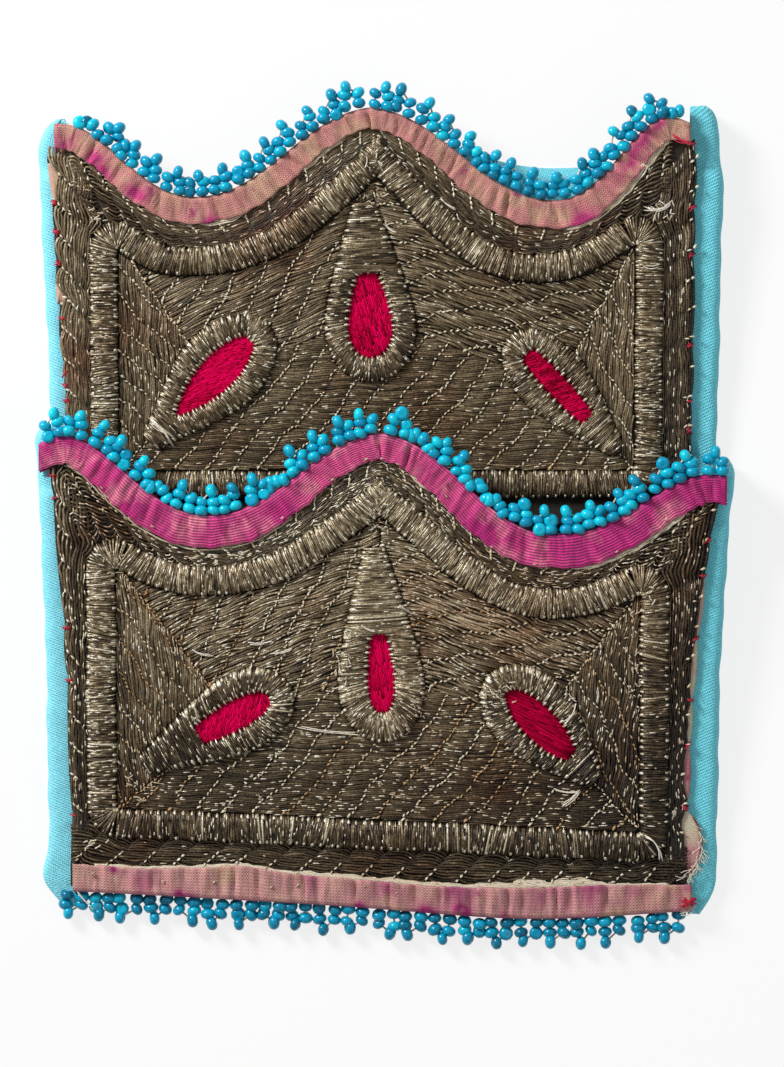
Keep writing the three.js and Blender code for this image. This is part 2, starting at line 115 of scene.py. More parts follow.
@dataclass(frozen=True)
class Gauge:
    """Thicknesses and gaps that neighbouring pieces share, in millimetres."""

    cotton: float = 0.6
    ribbon: float = 0.45
    silk: float = 0.36
    ground: float = 1.0
    seat: float = 0.3
    fold_gap: float = 0.4

    @property
    def panel_seat(self) -> float:
        """Height of a panel's underside at its foot."""
        return 2 * self.cotton + self.fold_gap + self.seat


GAUGE = Gauge()


def smooth_noise(places: Array, seed: int, lengths: Sequence[float]) -> Array:
    """Sum of sine waves with seeded phases, between about -1 and 1.

    Args:
        places: positions along a line, in millimetres.
        seed: seed of the phases.
        lengths: wave lengths, in millimetres.

    Returns:
        One value for each position.
    """
    rng = np.random.default_rng(seed)
    total = np.zeros_like(np.asarray(places, float))
    for length in lengths:
        total += np.sin(2 * np.pi * places / length + rng.uniform(0, 2 * np.pi))
    return total / len(lengths)


def inside(points: Array, outline: Array) -> Array:
    """Tests points against a closed outline by the even-odd rule.

    Args:
        points: flat points, with any leading shape.
        outline: corners of the outline.

    Returns:
        True for each point that lies within.
    """
    x, y = points[..., 0], points[..., 1]
    found = np.zeros(x.shape, bool)
    for (ax, ay), (bx, by) in zip(outline, np.roll(outline, -1, axis=0)):
        crosses = (ay > y) != (by > y)
        if ay != by:
            found ^= crosses & (x < ax + (y - ay) * (bx - ax) / (by - ay))
    return found


def share_of(place: Array, start: Array | float, long: Array | float) -> Array:
    """Share of the way from a start over a length, kept between 0 and 1."""
    return np.clip((place - start) / long, 0, 1)


def heading(turn: float) -> Array:
    """Flat unit direction of a turn in radians."""
    return np.array([math.cos(turn), math.sin(turn)])


def left_of(way: Array) -> Array:
    """Flat directions turned a quarter to the left."""
    return np.stack([-way[..., 1], way[..., 0]], axis=-1)


def running(points: Array) -> Array:
    """Running length of a line of points."""
    return np.concatenate([[0.0], np.cumsum(np.linalg.norm(np.diff(points, axis=0), axis=1))])


def through(places: Array, marks: Array, points: Array) -> Array:
    """Points read off a line at places, where the line's own points stand at marks."""
    return np.stack([np.interp(places, marks, axis) for axis in points.T], axis=-1)


def finer(line: Array) -> Array:
    """The same line with three more points between each two."""
    return through(np.linspace(0, len(line) - 1, 4 * len(line) - 3), np.arange(len(line)), line)


def between(starts: Array, ends: Array, shares: Array) -> Array:
    """Points at shares of the way from each start to its end."""
    return starts[:, None] + (ends - starts)[:, None] * shares[..., None]


class FlatPath:
    """A line of flat points, followed by its length."""

    def __init__(self, points: Array) -> None:
        """Keeps the points and their running length.

        Args:
            points: points of the line, in order.
        """
        self.points = np.asarray(points, float)
        self.run = running(self.points)
        self.length = float(self.run[-1])

    def at(self, share: Array) -> Array:
        """Points at shares of the length, 0 to 1."""
        return through(np.clip(share, 0, 1) * self.length, self.run, self.points)

    def along(self, share: Array) -> Array:
        """Unit directions at shares of the length.

        Args:
            share: shares of the length.

        Returns:
            A direction at each.
        """
        reach = 0.6 / self.length
        ahead = self.at(np.asarray(share) + reach) - self.at(np.asarray(share) - reach)
        return ahead / np.linalg.norm(ahead, axis=-1, keepdims=True)

    def beside(self, share: Array, out: Array | float) -> Array:
        """Points to the left of the path, looking along it, at a distance."""
        return self.at(share) + left_of(self.along(share)) * np.asarray(out)[..., None]

    def stretch(self, start: float, end: float) -> "FlatPath":
        """The same line drawn out straight at its two ends.

        Args:
            start: how far it grows at its start, in millimetres.
            end: how far it grows at its end.

        Returns:
            The longer line.
        """
        first, last = self.along(np.array([0.0, 1.0]))
        head, tail = self.points[0] - start * first, self.points[-1] + end * last
        return FlatPath(np.concatenate([[head], self.points, [tail]]))

    def height(self, x: Array) -> Array:
        """Second coordinate at places along X, for a path that runs from left to right."""
        return np.interp(x, self.points[:, 0], self.points[:, 1])


def joined(arcs: Sequence[Array]) -> FlatPath:
    """One path of arcs that each begin where the last one ends."""
    return FlatPath(np.concatenate([arcs[0], *[arc[1:] for arc in arcs[1:]]]))


@dataclass(frozen=True)
class Scallop:
    """Scalloped line from left to right: end, dip, peak, dip, end.

    The lifts say how far the line rises in a hump between each end and its dip.
    """

    ends: tuple[Pair, Pair]
    dips: tuple[Pair, Pair]
    peak: Pair
    end_slope: float
    peak_slope: float
    lifts: Pair = (0.0, 0.0)
    samples: int = 60

    def path(self) -> FlatPath:
        """The line as four cubic arcs."""
        knots = [
            (self.ends[0], 0.0, -self.end_slope),
            (self.dips[0], 0.0, 0.0),
            (self.peak, self.peak_slope, -self.peak_slope),
            (self.dips[1], 0.0, 0.0),
            (self.ends[1], self.end_slope, 0.0),
        ]
        t = np.linspace(0, 1, self.samples)[:, None]
        arcs = []
        for (start, _, leave), (end, arrive, _) in zip(knots, knots[1:]):
            reach = 0.4 * (end[0] - start[0])
            a, d = np.array(start), np.array(end)
            b = a + np.array([reach, reach * leave])
            c = d - np.array([reach, reach * arrive])
            arcs.append((1 - t) ** 3 * a + 3 * (1 - t) ** 2 * t * b + 3 * (1 - t) * t**2 * c + t**3 * d)
        for arc, end, dip, lift in zip((arcs[0], arcs[-1]), self.ends, self.dips, self.lifts):
            share = share_of(arc[:, 0], end[0], dip[0] - end[0])
            arc[:, 1] += lift * np.sin(np.pi * share**0.55) ** 2
        return joined(arcs)


def hem_path() -> FlatPath:
    """Fold of the bottom binding, seen from the front, as a smooth curve through four points."""
    knots = np.array([(-53.6, -66.4), (-10.0, -68.9), (25.0, -71.3), (52.2, -69.9)])
    padded = np.concatenate([knots[:1], knots, knots[-1:]])
    t = np.linspace(0, 1, 40)[:, None]
    arcs = []
    for p0, p1, p2, p3 in zip(padded, padded[1:], padded[2:], padded[3:]):
        leave, arrive = (p2 - p0) / 2, (p3 - p1) / 2
        cubic = (2 * p1 - 2 * p2 + leave + arrive) * t**3
        arcs.append(cubic + (3 * p2 - 3 * p1 - 2 * leave - arrive) * t**2 + leave * t + p1)
    return joined(arcs)


HEM = hem_path()


def hem_width(x: Array) -> Array:
    """Width of the bottom binding along the pouch, in millimetres."""
    knots = [-53.6, -43.0, -31.0, -25.4, -15.5, 7.7, 23.6, 36.0, 45.0, 52.0]
    return np.interp(x, knots, [5.0, 4.7, 5.6, 6.3, 5.2, 4.9, 5.6, 5.8, 5.3, 4.8])


@dataclass(frozen=True)
class Drop:
    """A silk leaf with its satin band and stem. The stem points along its turn, in degrees.

    The cuts say how much longer the leaf would be at its stem and at its head if it weren't cut off there. A
    sharp leaf has pointed ends, and a taper makes it slimmer towards its stem. Satin is the tone of the band.
    """

    name: str
    at: Pair
    turn: float
    length: float
    width: float
    stem: float
    floss_turn: float
    cuts: Pair = (1.0, 1.0)
    sharp: float = 1.0
    taper: float = 0.3
    rim_pitch: float = 1.0
    tone: float = 0.5
    stroke: float = 2.8
    band: float = 4.0
    stem_cut: float = 1.15
    satin: float = 0.34

    def leaf_edge(self, angles: Array) -> Array:
        """Edge of the silk leaf, in the drop's own frame.

        Args:
            angles: turns about the leaf's middle, in radians, with the stem along +X.

        Returns:
            A flat point for each turn.
        """
        lean, lift = np.cos(angles), np.sin(angles)
        half = self.length / 2
        along = np.clip(lean * half * np.where(lean > 0, *self.cuts), -half, half)
        across = self.width / 2 * np.sign(lift) * np.abs(lift) ** self.sharp * (1 - self.taper * lean)
        return np.stack([along, across], axis=-1)

    def band_edge(self, angles: Array) -> Array:
        """Outer edge of the satin band and its stem, in the same frame.

        Args:
            angles: turns about the leaf's middle, in radians.

        Returns:
            A flat point for each turn.
        """
        lean = np.cos(angles)
        tip = self.length / 2 + self.stem
        ahead = np.minimum(self.stem_cut * tip * lean, tip)
        along = np.where(lean > 0, ahead, (self.length / 2 + self.band) * lean)
        slimmer = 1 - np.where(lean > 0, 0.62, 0.15) * lean
        across = (self.width / 2 + self.band) * np.sin(angles) * slimmer
        return np.stack([along, across], axis=-1)

    def settle(self, local: Array) -> Array:
        """Turns points of the drop's own frame onto the panel."""
        way = heading(math.radians(self.turn))
        return local @ np.stack([way, left_of(way)]) + np.array(self.at)


@dataclass(frozen=True)
class Run:
    """Laid thread of one quarter: its direction and that of its couching rows, in degrees, and their pitch.

    The twist says how far single threads wander, and the bend how much they all bow.
    """

    thread: float
    rows: float
    pitch: float
    twist: float = 0.06
    bend: float = 0.0


@dataclass(frozen=True)
class Border:
    """How the thread of a border is tied down.

    A tie leans along the border over its width, comes again after a distance, draws the thread together, and
    crosses part of the width. The tone is that of the thread, bare is the share of pale stretches at its
    edge, blob the size of a tie's stitches, flecks how worn the thread is, against the field, and the last
    field how much darker its outer rim is painted: a painted shadow where the panel meets its gusset.
    """

    slant: float
    ties: float
    pinch: float
    span: Pair
    tone: float = 0.2
    bare: float = 0.0
    blob: float = 1.3
    flecks: float = 1.0
    seam: float = 0.0


@dataclass(frozen=True)
class Sliver:
    """Stretch of a panel's side where the lining shows: its ends along v, its width and its dye, 0 for cream.

    A loose stretch hangs out over the side, and one that fades is paler towards its upper end.
    """

    side: Side
    low: float
    high: float
    wide: float
    dye: float
    loose: float = 0.0
    fade: float = 0.0

    def share(self, v: Array) -> Array:
        """Share of the way up the stretch."""
        return share_of(v, self.low, self.high - self.low)


@dataclass(frozen=True)
class Tier:
    """One pocket: its place, its outlines and its embroidery."""

    name: str
    foot_y: float
    tilt: float
    edge: Scallop
    crest: Scallop
    ridge_sides: Pair
    rail: float
    rail_skew: float
    panel_mouth: Pair
    panel_foot: Pair
    panel_flare: float
    gusset_mouth: Pair
    gusset_foot: Pair
    gusset_flare: float
    gusset_top: Pair
    gusset_neck: Pair
    tab_inner: Pair
    ribbon_width: tuple[float, ...]
    ribbon_ends: Pair
    whips: tuple[tuple[float, ...], tuple[float, ...]]
    slivers: tuple[Sliver, ...]
    drops: tuple[Drop, ...]
    runs: dict[Quarter, Run]
    dyed_spots: Spots
    fade: Pair
    patches: tuple[tuple[float, float, float, float], ...]
    wear: float
    side_wear: Pair
    seed: int

    @property
    def lower(self) -> bool:
        """True for the pocket in front."""
        return self.name == "lower"

    @property
    def normal(self) -> Array:
        """Direction out of the panel's face."""
        turn = math.radians(self.tilt)
        return np.array([0.0, -math.sin(turn), math.cos(turn)])

    def place(self, flat: Array, rise: Array | float) -> Array:
        """Turns places on the panel into points of the pouch.

        Args:
            flat: places on the panel.
            rise: heights above its underside.

        Returns:
            The points, in millimetres.
        """
        turn = math.radians(self.tilt)
        flat = np.asarray(flat, float)
        rise = np.broadcast_to(rise, flat.shape[:-1])
        y = self.foot_y + flat[..., 1] * math.cos(turn) - rise * math.sin(turn)
        z = GAUGE.panel_seat + flat[..., 1] * math.sin(turn) + rise * math.cos(turn)
        return np.stack([flat[..., 0], y, z], axis=-1)

    def flared(self, side: Side, height: Array, foot: Pair, mouth: Pair, flare: float) -> Array:
        """X of a line up one side that flares from the foot to the mouth.

        Args:
            side: side of the pouch.
            height: heights above the foot.
            foot: X at the foot, on the left and on the right.
            mouth: X at the mouth, likewise.
            flare: power of the flare.

        Returns:
            X at each height.
        """
        share = np.clip(np.asarray(height) / self.edge.ends[side.value][1], 0, 1) ** flare
        low, high = foot[side.value], mouth[side.value]
        return low + (high - low) * share

    def panel_side(self, side: Side, v: Array) -> Array:
        """X of the panel's side at heights along the panel."""
        return self.flared(side, v, self.panel_foot, self.panel_mouth, self.panel_flare)

    def gusset_fold(self, side: Side, y: Array) -> Array:
        """X of the gusset's outer fold at heights of the pouch."""
        height = np.asarray(y) - self.foot_y
        return self.flared(side, height, self.gusset_foot, self.gusset_mouth, self.gusset_flare)

    def ribbon_at(self, share: Array) -> Array:
        """Width of the mouth's ribbon at shares along it."""
        return np.interp(share, np.linspace(0, 1, len(self.ribbon_width)), self.ribbon_width)

    def side_line(self, side: Side, v: Array) -> Array:
        """X of the panel's side, bulging between the stitches that hold it.

        Args:
            side: side of the pouch.
            v: heights along the panel.

        Returns:
            X at each height.
        """
        v = np.asarray(v, float)
        marks = np.array([-12.0, *sorted(self.whips[side.value]), self.edge.ends[side.value][1] + 6.0])
        place = np.clip(np.searchsorted(marks, v) - 1, 0, len(marks) - 2)
        low, high = marks[place], marks[place + 1]
        swell = np.minimum(0.6, 0.06 * (high - low))
        bulge = swell * np.sin(np.pi * share_of(v, low, high - low)) ** 0.6 - 0.15
        for sliver in self.slivers:
            if sliver.side is side:
                bulge = bulge + sliver.loose * np.sin(np.pi * sliver.share(v)) ** 0.7
        return self.panel_side(side, v) + side.sign * bulge

    def lining_at(self, side: Side, v: Array) -> tuple[Array, Array]:
        """Lining that shows along a side.

        Args:
            side: side of the pouch.
            v: heights along the panel.

        Returns:
            Its width, and its dye, both 0 where none shows.
        """
        wide, dye = np.zeros_like(v), np.zeros_like(v)
        for sliver in self.slivers:
            if sliver.side is side:
                inner = np.minimum(v - sliver.low, sliver.high - v)
                wide = np.where(inner > 0, sliver.wide * np.clip(inner / 2.2, 0, 1) ** 0.7, wide)
                kept = np.clip(sliver.dye + sliver.fade * (0.5 - sliver.share(v)), 0, 1)
                dye = np.where(inner > 0, 0.2 + 0.8 * kept, dye)
        return wide, dye

    def shade(self, flat: Array) -> Array:
        """How much paler the thread is from foot to mouth, and in patches of x, v, reach and tone.

        Args:
            flat: places on the panel.

        Returns:
            What is added to the tone at each place.
        """
        x, v = flat[..., 0], flat[..., 1]
        tone = np.interp(v, [0.0, self.edge.peak[1]], self.fade)
        for at_x, at_v, reach, change in self.patches:
            tone = tone + change * np.exp(-(((x - at_x) ** 2 + (v - at_v) ** 2) / reach**2))
        return tone

    def under(self, y: Array) -> Array:
        """Height of the panel's underside."""
        return GAUGE.panel_seat + (np.asarray(y) - self.foot_y) * math.tan(math.radians(self.tilt))

    def rail_at(self, x: Array) -> Array:
        """Middle of the bottom rail at places along X."""
        return self.rail + self.rail_skew * np.asarray(x)

    def foot_at(self, x: Array) -> Array:
        """Foot of the panel's cloth at places along X.

        Args:
            x: the places.

        Returns:
            Height of the foot at each.
        """
        x = np.asarray(x, float)
        if not self.lower:
            return np.zeros_like(x)
        return HEM.height(x) - self.foot_y + 1.1


UPPER = Tier(
    name="upper",
    foot_y=-2.0,
    tilt=4.8,
    edge=Scallop(
        ((-57.0, 70.3), (52.0, 71.0)), ((-33.2, 57.6), (29.6, 57.0)), (-2.4, 73.2), 0.5, 0.1, (1.8, 3.2)
    ),
    crest=Scallop(((-52.6, 55.6), (48.6, 55.4)), ((-35.6, 46.3), (26.6, 45.1)), (-1.5, 64.6), 0.6, 1.0),
    ridge_sides=(-49.2, 46.2),
    rail=7.2,
    rail_skew=0.0,
    panel_mouth=(-59.0, 54.1),
    panel_foot=(-55.2, 53.5),
    panel_flare=1.2,
    gusset_mouth=(-61.2, 59.6),
    gusset_foot=(-58.5, 58.3),
    gusset_flare=1.6,
    gusset_top=(68.8, 71.2),
    gusset_neck=(0.3, 1.3),
    tab_inner=(57.0, 53.3),
    ribbon_ends=(0.7, 1.3),
    ribbon_width=(4.5, 4.3, 4.7, 4.7, 3.9, 3.6, 4.0, 4.8, 5.0, 4.4, 4.0),
    whips=((56.5, 51.5, 46.0, 36.3, 26.7, 24.6, 21.9), (66.7, 55.8, 47.4, 31.6, 21.9, 16.7)),
    slivers=(Sliver(Side.LEFT, 57.1, 63.2, 0.9, 0.9), Sliver(Side.LEFT, 36.6, 41.8, 0.9, 0.8)),
    drops=(
        Drop("left", (-30.2, 25.9), 225.6, 19.2, 6.6, 6.0, -28.0, (1.0, 1.13), 1.5, 0.26, 0.85, 0.5),
        Drop(
            "centre", (-2.7, 36.9), 93.0, 15.4, 7.7, 12.3, 14.0, (1.25, 1.0), 1.0, 0.36, 1.1, 0.46, satin=0.29
        ),
        Drop("right", (30.2, 24.5), -47.0, 16.2, 4.2, 7.6, 62.0, (1.3, 1.3), 0.8, 0.0, 1.5, 0.28),
    ),
    runs={
        Quarter.WEST: Run(93.0, -44.0, 3.3, 0.12),
        Quarter.EAST: Run(87.0, -58.0, 3.4, 0.12),
        Quarter.SOUTH: Run(0.0, 51.0, 3.9),
        Quarter.NORTH_WEST: Run(22.0, 62.0, 4.4, 0.16, 0.0016),
        Quarter.NORTH_EAST: Run(-22.0, 9.0, 3.5, 0.2, 0.0016),
    },
    dyed_spots=(
        (-56.4, 0.02, 1.7), (-48.6, 0.7, 1.6), (-46.6, 0.95, 1.2), (-41.6, 0.6, 1.5), (-31.5, 0.95, 1.5),
        (32.6, 0.95, 1.8), (42.0, 0.7, 2.6), (45.6, 0.6, 2.6), (48.2, 0.4, 1.4),
    ),
    fade=(0.0, 0.09),
    patches=(),
    wear=0.07,
    side_wear=(2.2, 1.9),
    seed=11,
)

LOWER = Tier(
    name="lower",
    foot_y=-70.4,
    tilt=5.8,
    edge=Scallop(
        ((-59.8, 83.2), (59.2, 77.4)), ((-30.6, 70.6), (29.6, 67.2)), (-0.9, 84.9), 0.36, 0.1, (3.9, 2.3)
    ),
    crest=Scallop(((-53.0, 67.4), (48.6, 61.6)), ((-31.5, 59.0), (29.0, 55.0)), (-0.9, 73.6), 0.5, 0.75),
    ridge_sides=(-49.6, 47.1),
    rail=14.2,
    rail_skew=-0.047,
    panel_mouth=(-59.0, 58.6),
    panel_foot=(-54.8, 52.8),
    panel_flare=2.6,
    gusset_mouth=(-61.2, 61.2),
    gusset_foot=(-59.2, 58.4),
    gusset_flare=3.2,
    gusset_top=(15.2, 9.8),
    gusset_neck=(0.0, 0.0),
    tab_inner=(56.6, 58.0),
    ribbon_ends=(0.5, 0.3),
    ribbon_width=(4.6, 5.2, 5.8, 5.6, 4.8, 4.5, 5.0, 5.8, 6.0, 5.4, 4.8),
    whips=((77.5, 73.5, 50.7, 41.5, 17.7), (66.1, 59.9, 48.8, 38.0, 30.1, 19.0)),
    slivers=(
        Sliver(Side.RIGHT, 38.2, 48.6, 0.9, 0.1),
        Sliver(Side.RIGHT, 30.2, 38.0, 0.8, 0.15),
        Sliver(Side.RIGHT, 20.5, 30.0, 1.1, 0.85),
        Sliver(Side.RIGHT, 49.0, 59.0, 0.5, 0.6),
        Sliver(Side.RIGHT, 7.0, 18.4, 3.0, 0.45, 2.5, 1.4),
    ),
    drops=(
        Drop(
            "left", (-26.5, 35.2), 208.7, 14.6, 5.6, 11.0, 48.0, (1.35, 1.02), 0.9, 0.1, 1.1, 0.48, satin=0.28
        ),
        Drop(
            "centre", (-0.8, 42.8), 93.0, 14.4, 4.9, 15.2, 8.0, (1.3, 1.05), 1.0, 0.24, 1.2, 0.5, 4.0, 5.0,
            satin=0.39,
        ),
        Drop(
            "right", (27.0, 33.9), -45.5, 16.6, 6.4, 5.8, 20.0, (1.14, 1.04), 1.25, 0.05, 1.3, 0.24, 9.0,
            satin=0.3,
        ),
    ),
    runs={
        Quarter.WEST: Run(95.0, -52.0, 3.4, 0.12),
        Quarter.EAST: Run(84.0, -62.0, 3.3, 0.12),
        Quarter.SOUTH: Run(-1.5, 49.0, 4.15),
        Quarter.NORTH_WEST: Run(20.0, 66.0, 4.4, 0.2, 0.0022),
        Quarter.NORTH_EAST: Run(-22.0, 12.0, 3.8, 0.22, 0.0022),
    },
    dyed_spots=((-57.5, 0.4, 3.0), (-43.0, 0.8, 2.0), (-20.0, 0.6, 2.2), (20.0, 0.8, 3.0)),
    fade=(-0.15, 0.2),
    patches=((50.0, 20.0, 22.0, -0.21), (14.9, 50.0, 14.0, 0.13), (-29.8, 24.7, 13.0, -0.08)),
    wear=0.15,
    side_wear=(1.7, 0.3),
    seed=23,
)


class ThreadWork:
    """Threads gathered into one mesh. Each is a closed tube of three sides with a tone along it."""

    def __init__(self) -> None:
        """Starts with no threads."""
        self.points: list[Array] = []
        self.faces: list[list[int]] = []
        self.tones: list[Array] = []
        self.count = 0

    def keep(self, points: Array, faces: list[list[int]], tones: Array) -> None:
        """Adds a block of mesh.

        Args:
            points: its points, in millimetres.
            faces: its faces, which count from the block's first point.
            tones: tone at each point.
        """
        first = self.count
        self.points.append(points.reshape(-1, 3))
        self.faces.extend([[i + first for i in face] for face in faces])
        self.tones.append(np.asarray(tones, float).ravel())
        self.count += len(self.points[-1])

    def lay(
        self, lines: Array, up: Array, width: float, height: float, tones: Array, taper: float = 0.55
    ) -> None:
        """Adds tubes that lie on their lines.

        Args:
            lines: points of one line, or of equally divided lines in rows, in millimetres.
            up: direction away from what the threads lie on.
            width: width of a tube.
            height: how far a tube stands up.
            tones: tone at each point or of each thread, 0 dark to 1 pale.
            taper: share of its size that a tube keeps at its ends.
        """
        lines = lines.reshape(-1, *lines.shape[-2:])
        way = np.gradient(lines, axis=1)
        way /= np.maximum(np.linalg.norm(way, axis=2, keepdims=True), 1e-9)
        side = np.cross(way, up)
        side /= np.maximum(np.linalg.norm(side, axis=2, keepdims=True), 1e-9)
        rise = np.cross(side, way)
        threads, steps = lines.shape[:2]
        size = np.ones((1, steps, 1))
        size[:, [0, -1]] = taper
        half = side * (width / 2) * size
        ring = np.stack([lines - half, lines + rise * height * size, lines + half], axis=2)
        faces = []
        for i in range(threads):
            start = i * steps * 3
            end = start + (steps - 1) * 3
            for a in range(start, end, 3):
                faces.append([a, a + 1, a + 4, a + 3])
                faces.append([a + 1, a + 2, a + 5, a + 4])
                faces.append([a + 2, a, a + 3, a + 5])
            faces.append([start + 2, start + 1, start])
            faces.append([end, end + 1, end + 2])
        self.keep(ring, faces, np.repeat(np.broadcast_to(tones, (threads, steps))[..., None], 3, axis=2))

    def fleck(self, lines: Array, up: Array, tones: Array) -> None:
        """Adds short pale flecks that lie on their lines, with one tone for each."""
        self.lay(lines, up, 0.26, 0.16, tones, taper=0.5)

    def pad(self, rows: Array, ring: bool, tone: float) -> None:
        """Adds a closed pad under stitches, lofted through closed sections.

        Args:
            rows: sections of points, in millimetres.
            ring: True where the last section meets the first.
            tone: tone of the pad.
        """
        many, size = rows.shape[:2]
        faces = []
        for i in range(many if ring else many - 1):
            a, b = i * size, ((i + 1) % many) * size
            for j in range(size):
                k = (j + 1) % size
                faces.append([a + j, a + k, b + k, b + j])
        if not ring:
            faces.append(list(range(size - 1, -1, -1)))
            faces.append([(many - 1) * size + j for j in range(size)])
        self.keep(rows, faces, np.full(many * size, tone))

    def piece(self, name: str, material: Material) -> Piece:
        """Makes one smooth object of all the threads.

        Args:
            name: name of the piece.
            material: its finish.

        Returns:
            The new object, with its tones as an attribute.
        """
        points = np.concatenate(self.points)
        made = new_object(name, points, self.faces, material)
        tone = made.data.attributes.new("tone", "FLOAT", "POINT")
        tone.data.foreach_set("value", np.concatenate(self.tones).astype(np.float32))
        return made


def select_only(piece: Piece) -> None:
    """Makes one object the only selected and the active one.

    Args:
        piece: the object.
    """
    bpy.ops.object.select_all(action="DESELECT")
    piece.select_set(True)
    bpy.context.view_layer.objects.active = piece


def new_object(
    name: str, points: Array, faces: Sequence[Sequence[int]], material: Material
) -> Piece:
    """Makes a smooth mesh object at the origin.

    Args:
        name: name of the piece.
        points: vertices, in millimetres.
        faces: corners of each face.
        material: its finish.

    Returns:
        The new object, linked to the scene.
    """
    mesh = bpy.data.meshes.new(name)
    mesh.from_pydata((np.asarray(points) * MM).tolist(), [], faces)
    mesh.polygons.foreach_set("use_smooth", np.ones(len(mesh.polygons), bool))
    mesh.materials.append(material)
    mesh.update()
    made = bpy.data.objects.new(name, mesh)
    bpy.context.scene.collection.objects.link(made)
    return made


def cloth_sheet(
    name: str, grid: Array, lay: Array, thickness: float, material: Material
) -> Piece:
    """Makes a closed sheet of cloth from the grid of its middle surface.

    Args:
        name: name of the piece.
        grid: rows of points, in millimetres.
        lay: for each point its place along and across the cloth in millimetres, and its fade.
        thickness: thickness of the cloth.
        material: its finish.

    Returns:
        The new object, its thickness applied.
    """
    rows, columns = grid.shape[:2]
    first = (np.arange(rows - 1)[:, None] * columns + np.arange(columns - 1)).ravel()
    faces = np.stack([first, first + 1, first + columns + 1, first + columns], axis=1).tolist()
    made = new_object(name, grid.reshape(-1, 3), faces, material)
    cloth = made.data.attributes.new("cloth", "FLOAT_VECTOR", "POINT")
    cloth.data.foreach_set("vector", lay.reshape(-1).astype(np.float32))
    select_only(made)
    bpy.ops.object.modifier_add(type="SOLIDIFY")
    wall = made.modifiers[-1]
    wall.thickness = thickness * MM
    wall.offset = 0.0
    bpy.ops.object.modifier_apply(modifier=wall.name)
    bpy.ops.object.mode_set(mode="EDIT")
    bpy.ops.mesh.select_all(action="SELECT")
    bpy.ops.mesh.normals_make_consistent(inside=False)
    bpy.ops.object.mode_set(mode="OBJECT")
    return made


def show(piece: Piece, slot: Slot, *nodes: str) -> Piece:
    """Fixes a piece to the pouch and reports it.

    Args:
        piece: the finished piece.
        slot: its material slot; not used.
        nodes: solids that it stands for.

    Returns:
        The piece.
    """
    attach(piece, BODY)
    if nodes:
        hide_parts(*nodes)
    LOG.info("%s: %d faces", piece.name, len(piece.data.polygons))
    return piece


def screen(red: float, green: float, blue: float) -> Colour:
    """Turns a colour as it looks on a screen into a linear one.

    Args:
        red: its red, 0 to 255.
        green: its green.
        blue: its blue.

    Returns:
        The linear colour, opaque.
    """
    shares = [value / 255 for value in (red, green, blue)]
    linear = [s / 12.92 if s <= 0.04045 else ((s + 0.055) / 1.055) ** 2.4 for s in shares]
    return (linear[0], linear[1], linear[2], 1.0)


def shades(*rows: tuple[float, float, float, float]) -> Stops:
    """Stops of a colour ramp, each a place and a colour as it looks on a screen."""
    return [(place, screen(*colour)) for place, *colour in rows]


class NodeBook:
    """Adds and links the nodes of one tree."""

    def __init__(self, tree: bpy.types.NodeTree) -> None:
        """Keeps the tree."""
        self.tree = tree

    def feed(self, socket: Socket, value: object) -> None:
        """Links a socket to another one, or sets its plain value.

        Args:
            socket: input to feed.
            value: a socket, or a plain value.
        """
        if isinstance(value, Socket):
            self.tree.links.new(value, socket)
        else:
            socket.default_value = value

    def add(self, kind: str, inputs: dict | None = None, **settings: object) -> bpy.types.Node:
        """Adds a node.

        Args:
            kind: type of the node, without its ShaderNode prefix.
            inputs: sockets to link and plain values to set, by name or number.
            settings: properties of the node.

        Returns:
            The new node.
        """
        node = self.tree.nodes.new(f"ShaderNode{kind}")
        for key, value in settings.items():
            setattr(node, key, value)
        for key, value in (inputs or {}).items():
            self.feed(node.inputs[key], value)
        return node

    def math(self, operation: str, first: object, second: object = 0.0, third: float = 0.5) -> Socket:
        """Result of one sum of two or three values."""
        return self.add("Math", {0: first, 1: second, 2: third}, operation=operation).outputs[0]

    def mix(self, share: object, first: object, second: object, blend: str = "MIX") -> Socket:
        """Colour mixed from two."""
        inputs = {0: share, 6: first, 7: second}
        return self.add("Mix", inputs, data_type="RGBA", blend_type=blend).outputs[2]

    def noise(self, place: Socket, scale: object, detail: float) -> Socket:
        """Value of a noise over places."""
        return self.add("TexNoise", {"Vector": place, "Scale": scale, "Detail": detail}).outputs[0]

    def axes(self, vector: Socket) -> Sequence[Socket]:
        """The three values of a vector."""
        return self.add("SeparateXYZ", {0: vector}).outputs

    def clamp(self, value: Socket) -> Socket:
        """Value kept between 0 and 1."""
        return self.add("Clamp", {0: value}).outputs[0]

    def ramp(self, share: Socket, stops: Stops) -> Socket:
        """Colour from a ramp.

        Args:
            share: place on the ramp.
            stops: its stops, from 0 to 1.

        Returns:
            The colour.
        """
        node = self.add("ValToRGB", {0: share})
        elements = node.color_ramp.elements
        while len(elements) < len(stops):
            elements.new(0.5)
        for element, (position, colour) in zip(elements, stops):
            element.position = position
            element.color = colour
        return node.outputs[0]

    def remap(self, value: Socket, span: Pair, to: Pair) -> Socket:
        """Value moved from one range to another and kept within it."""
        names = {"Value": value, "From Min": span[0], "From Max": span[1], "To Min": to[0], "To Max": to[1]}
        return self.add("MapRange", names).outputs[0]


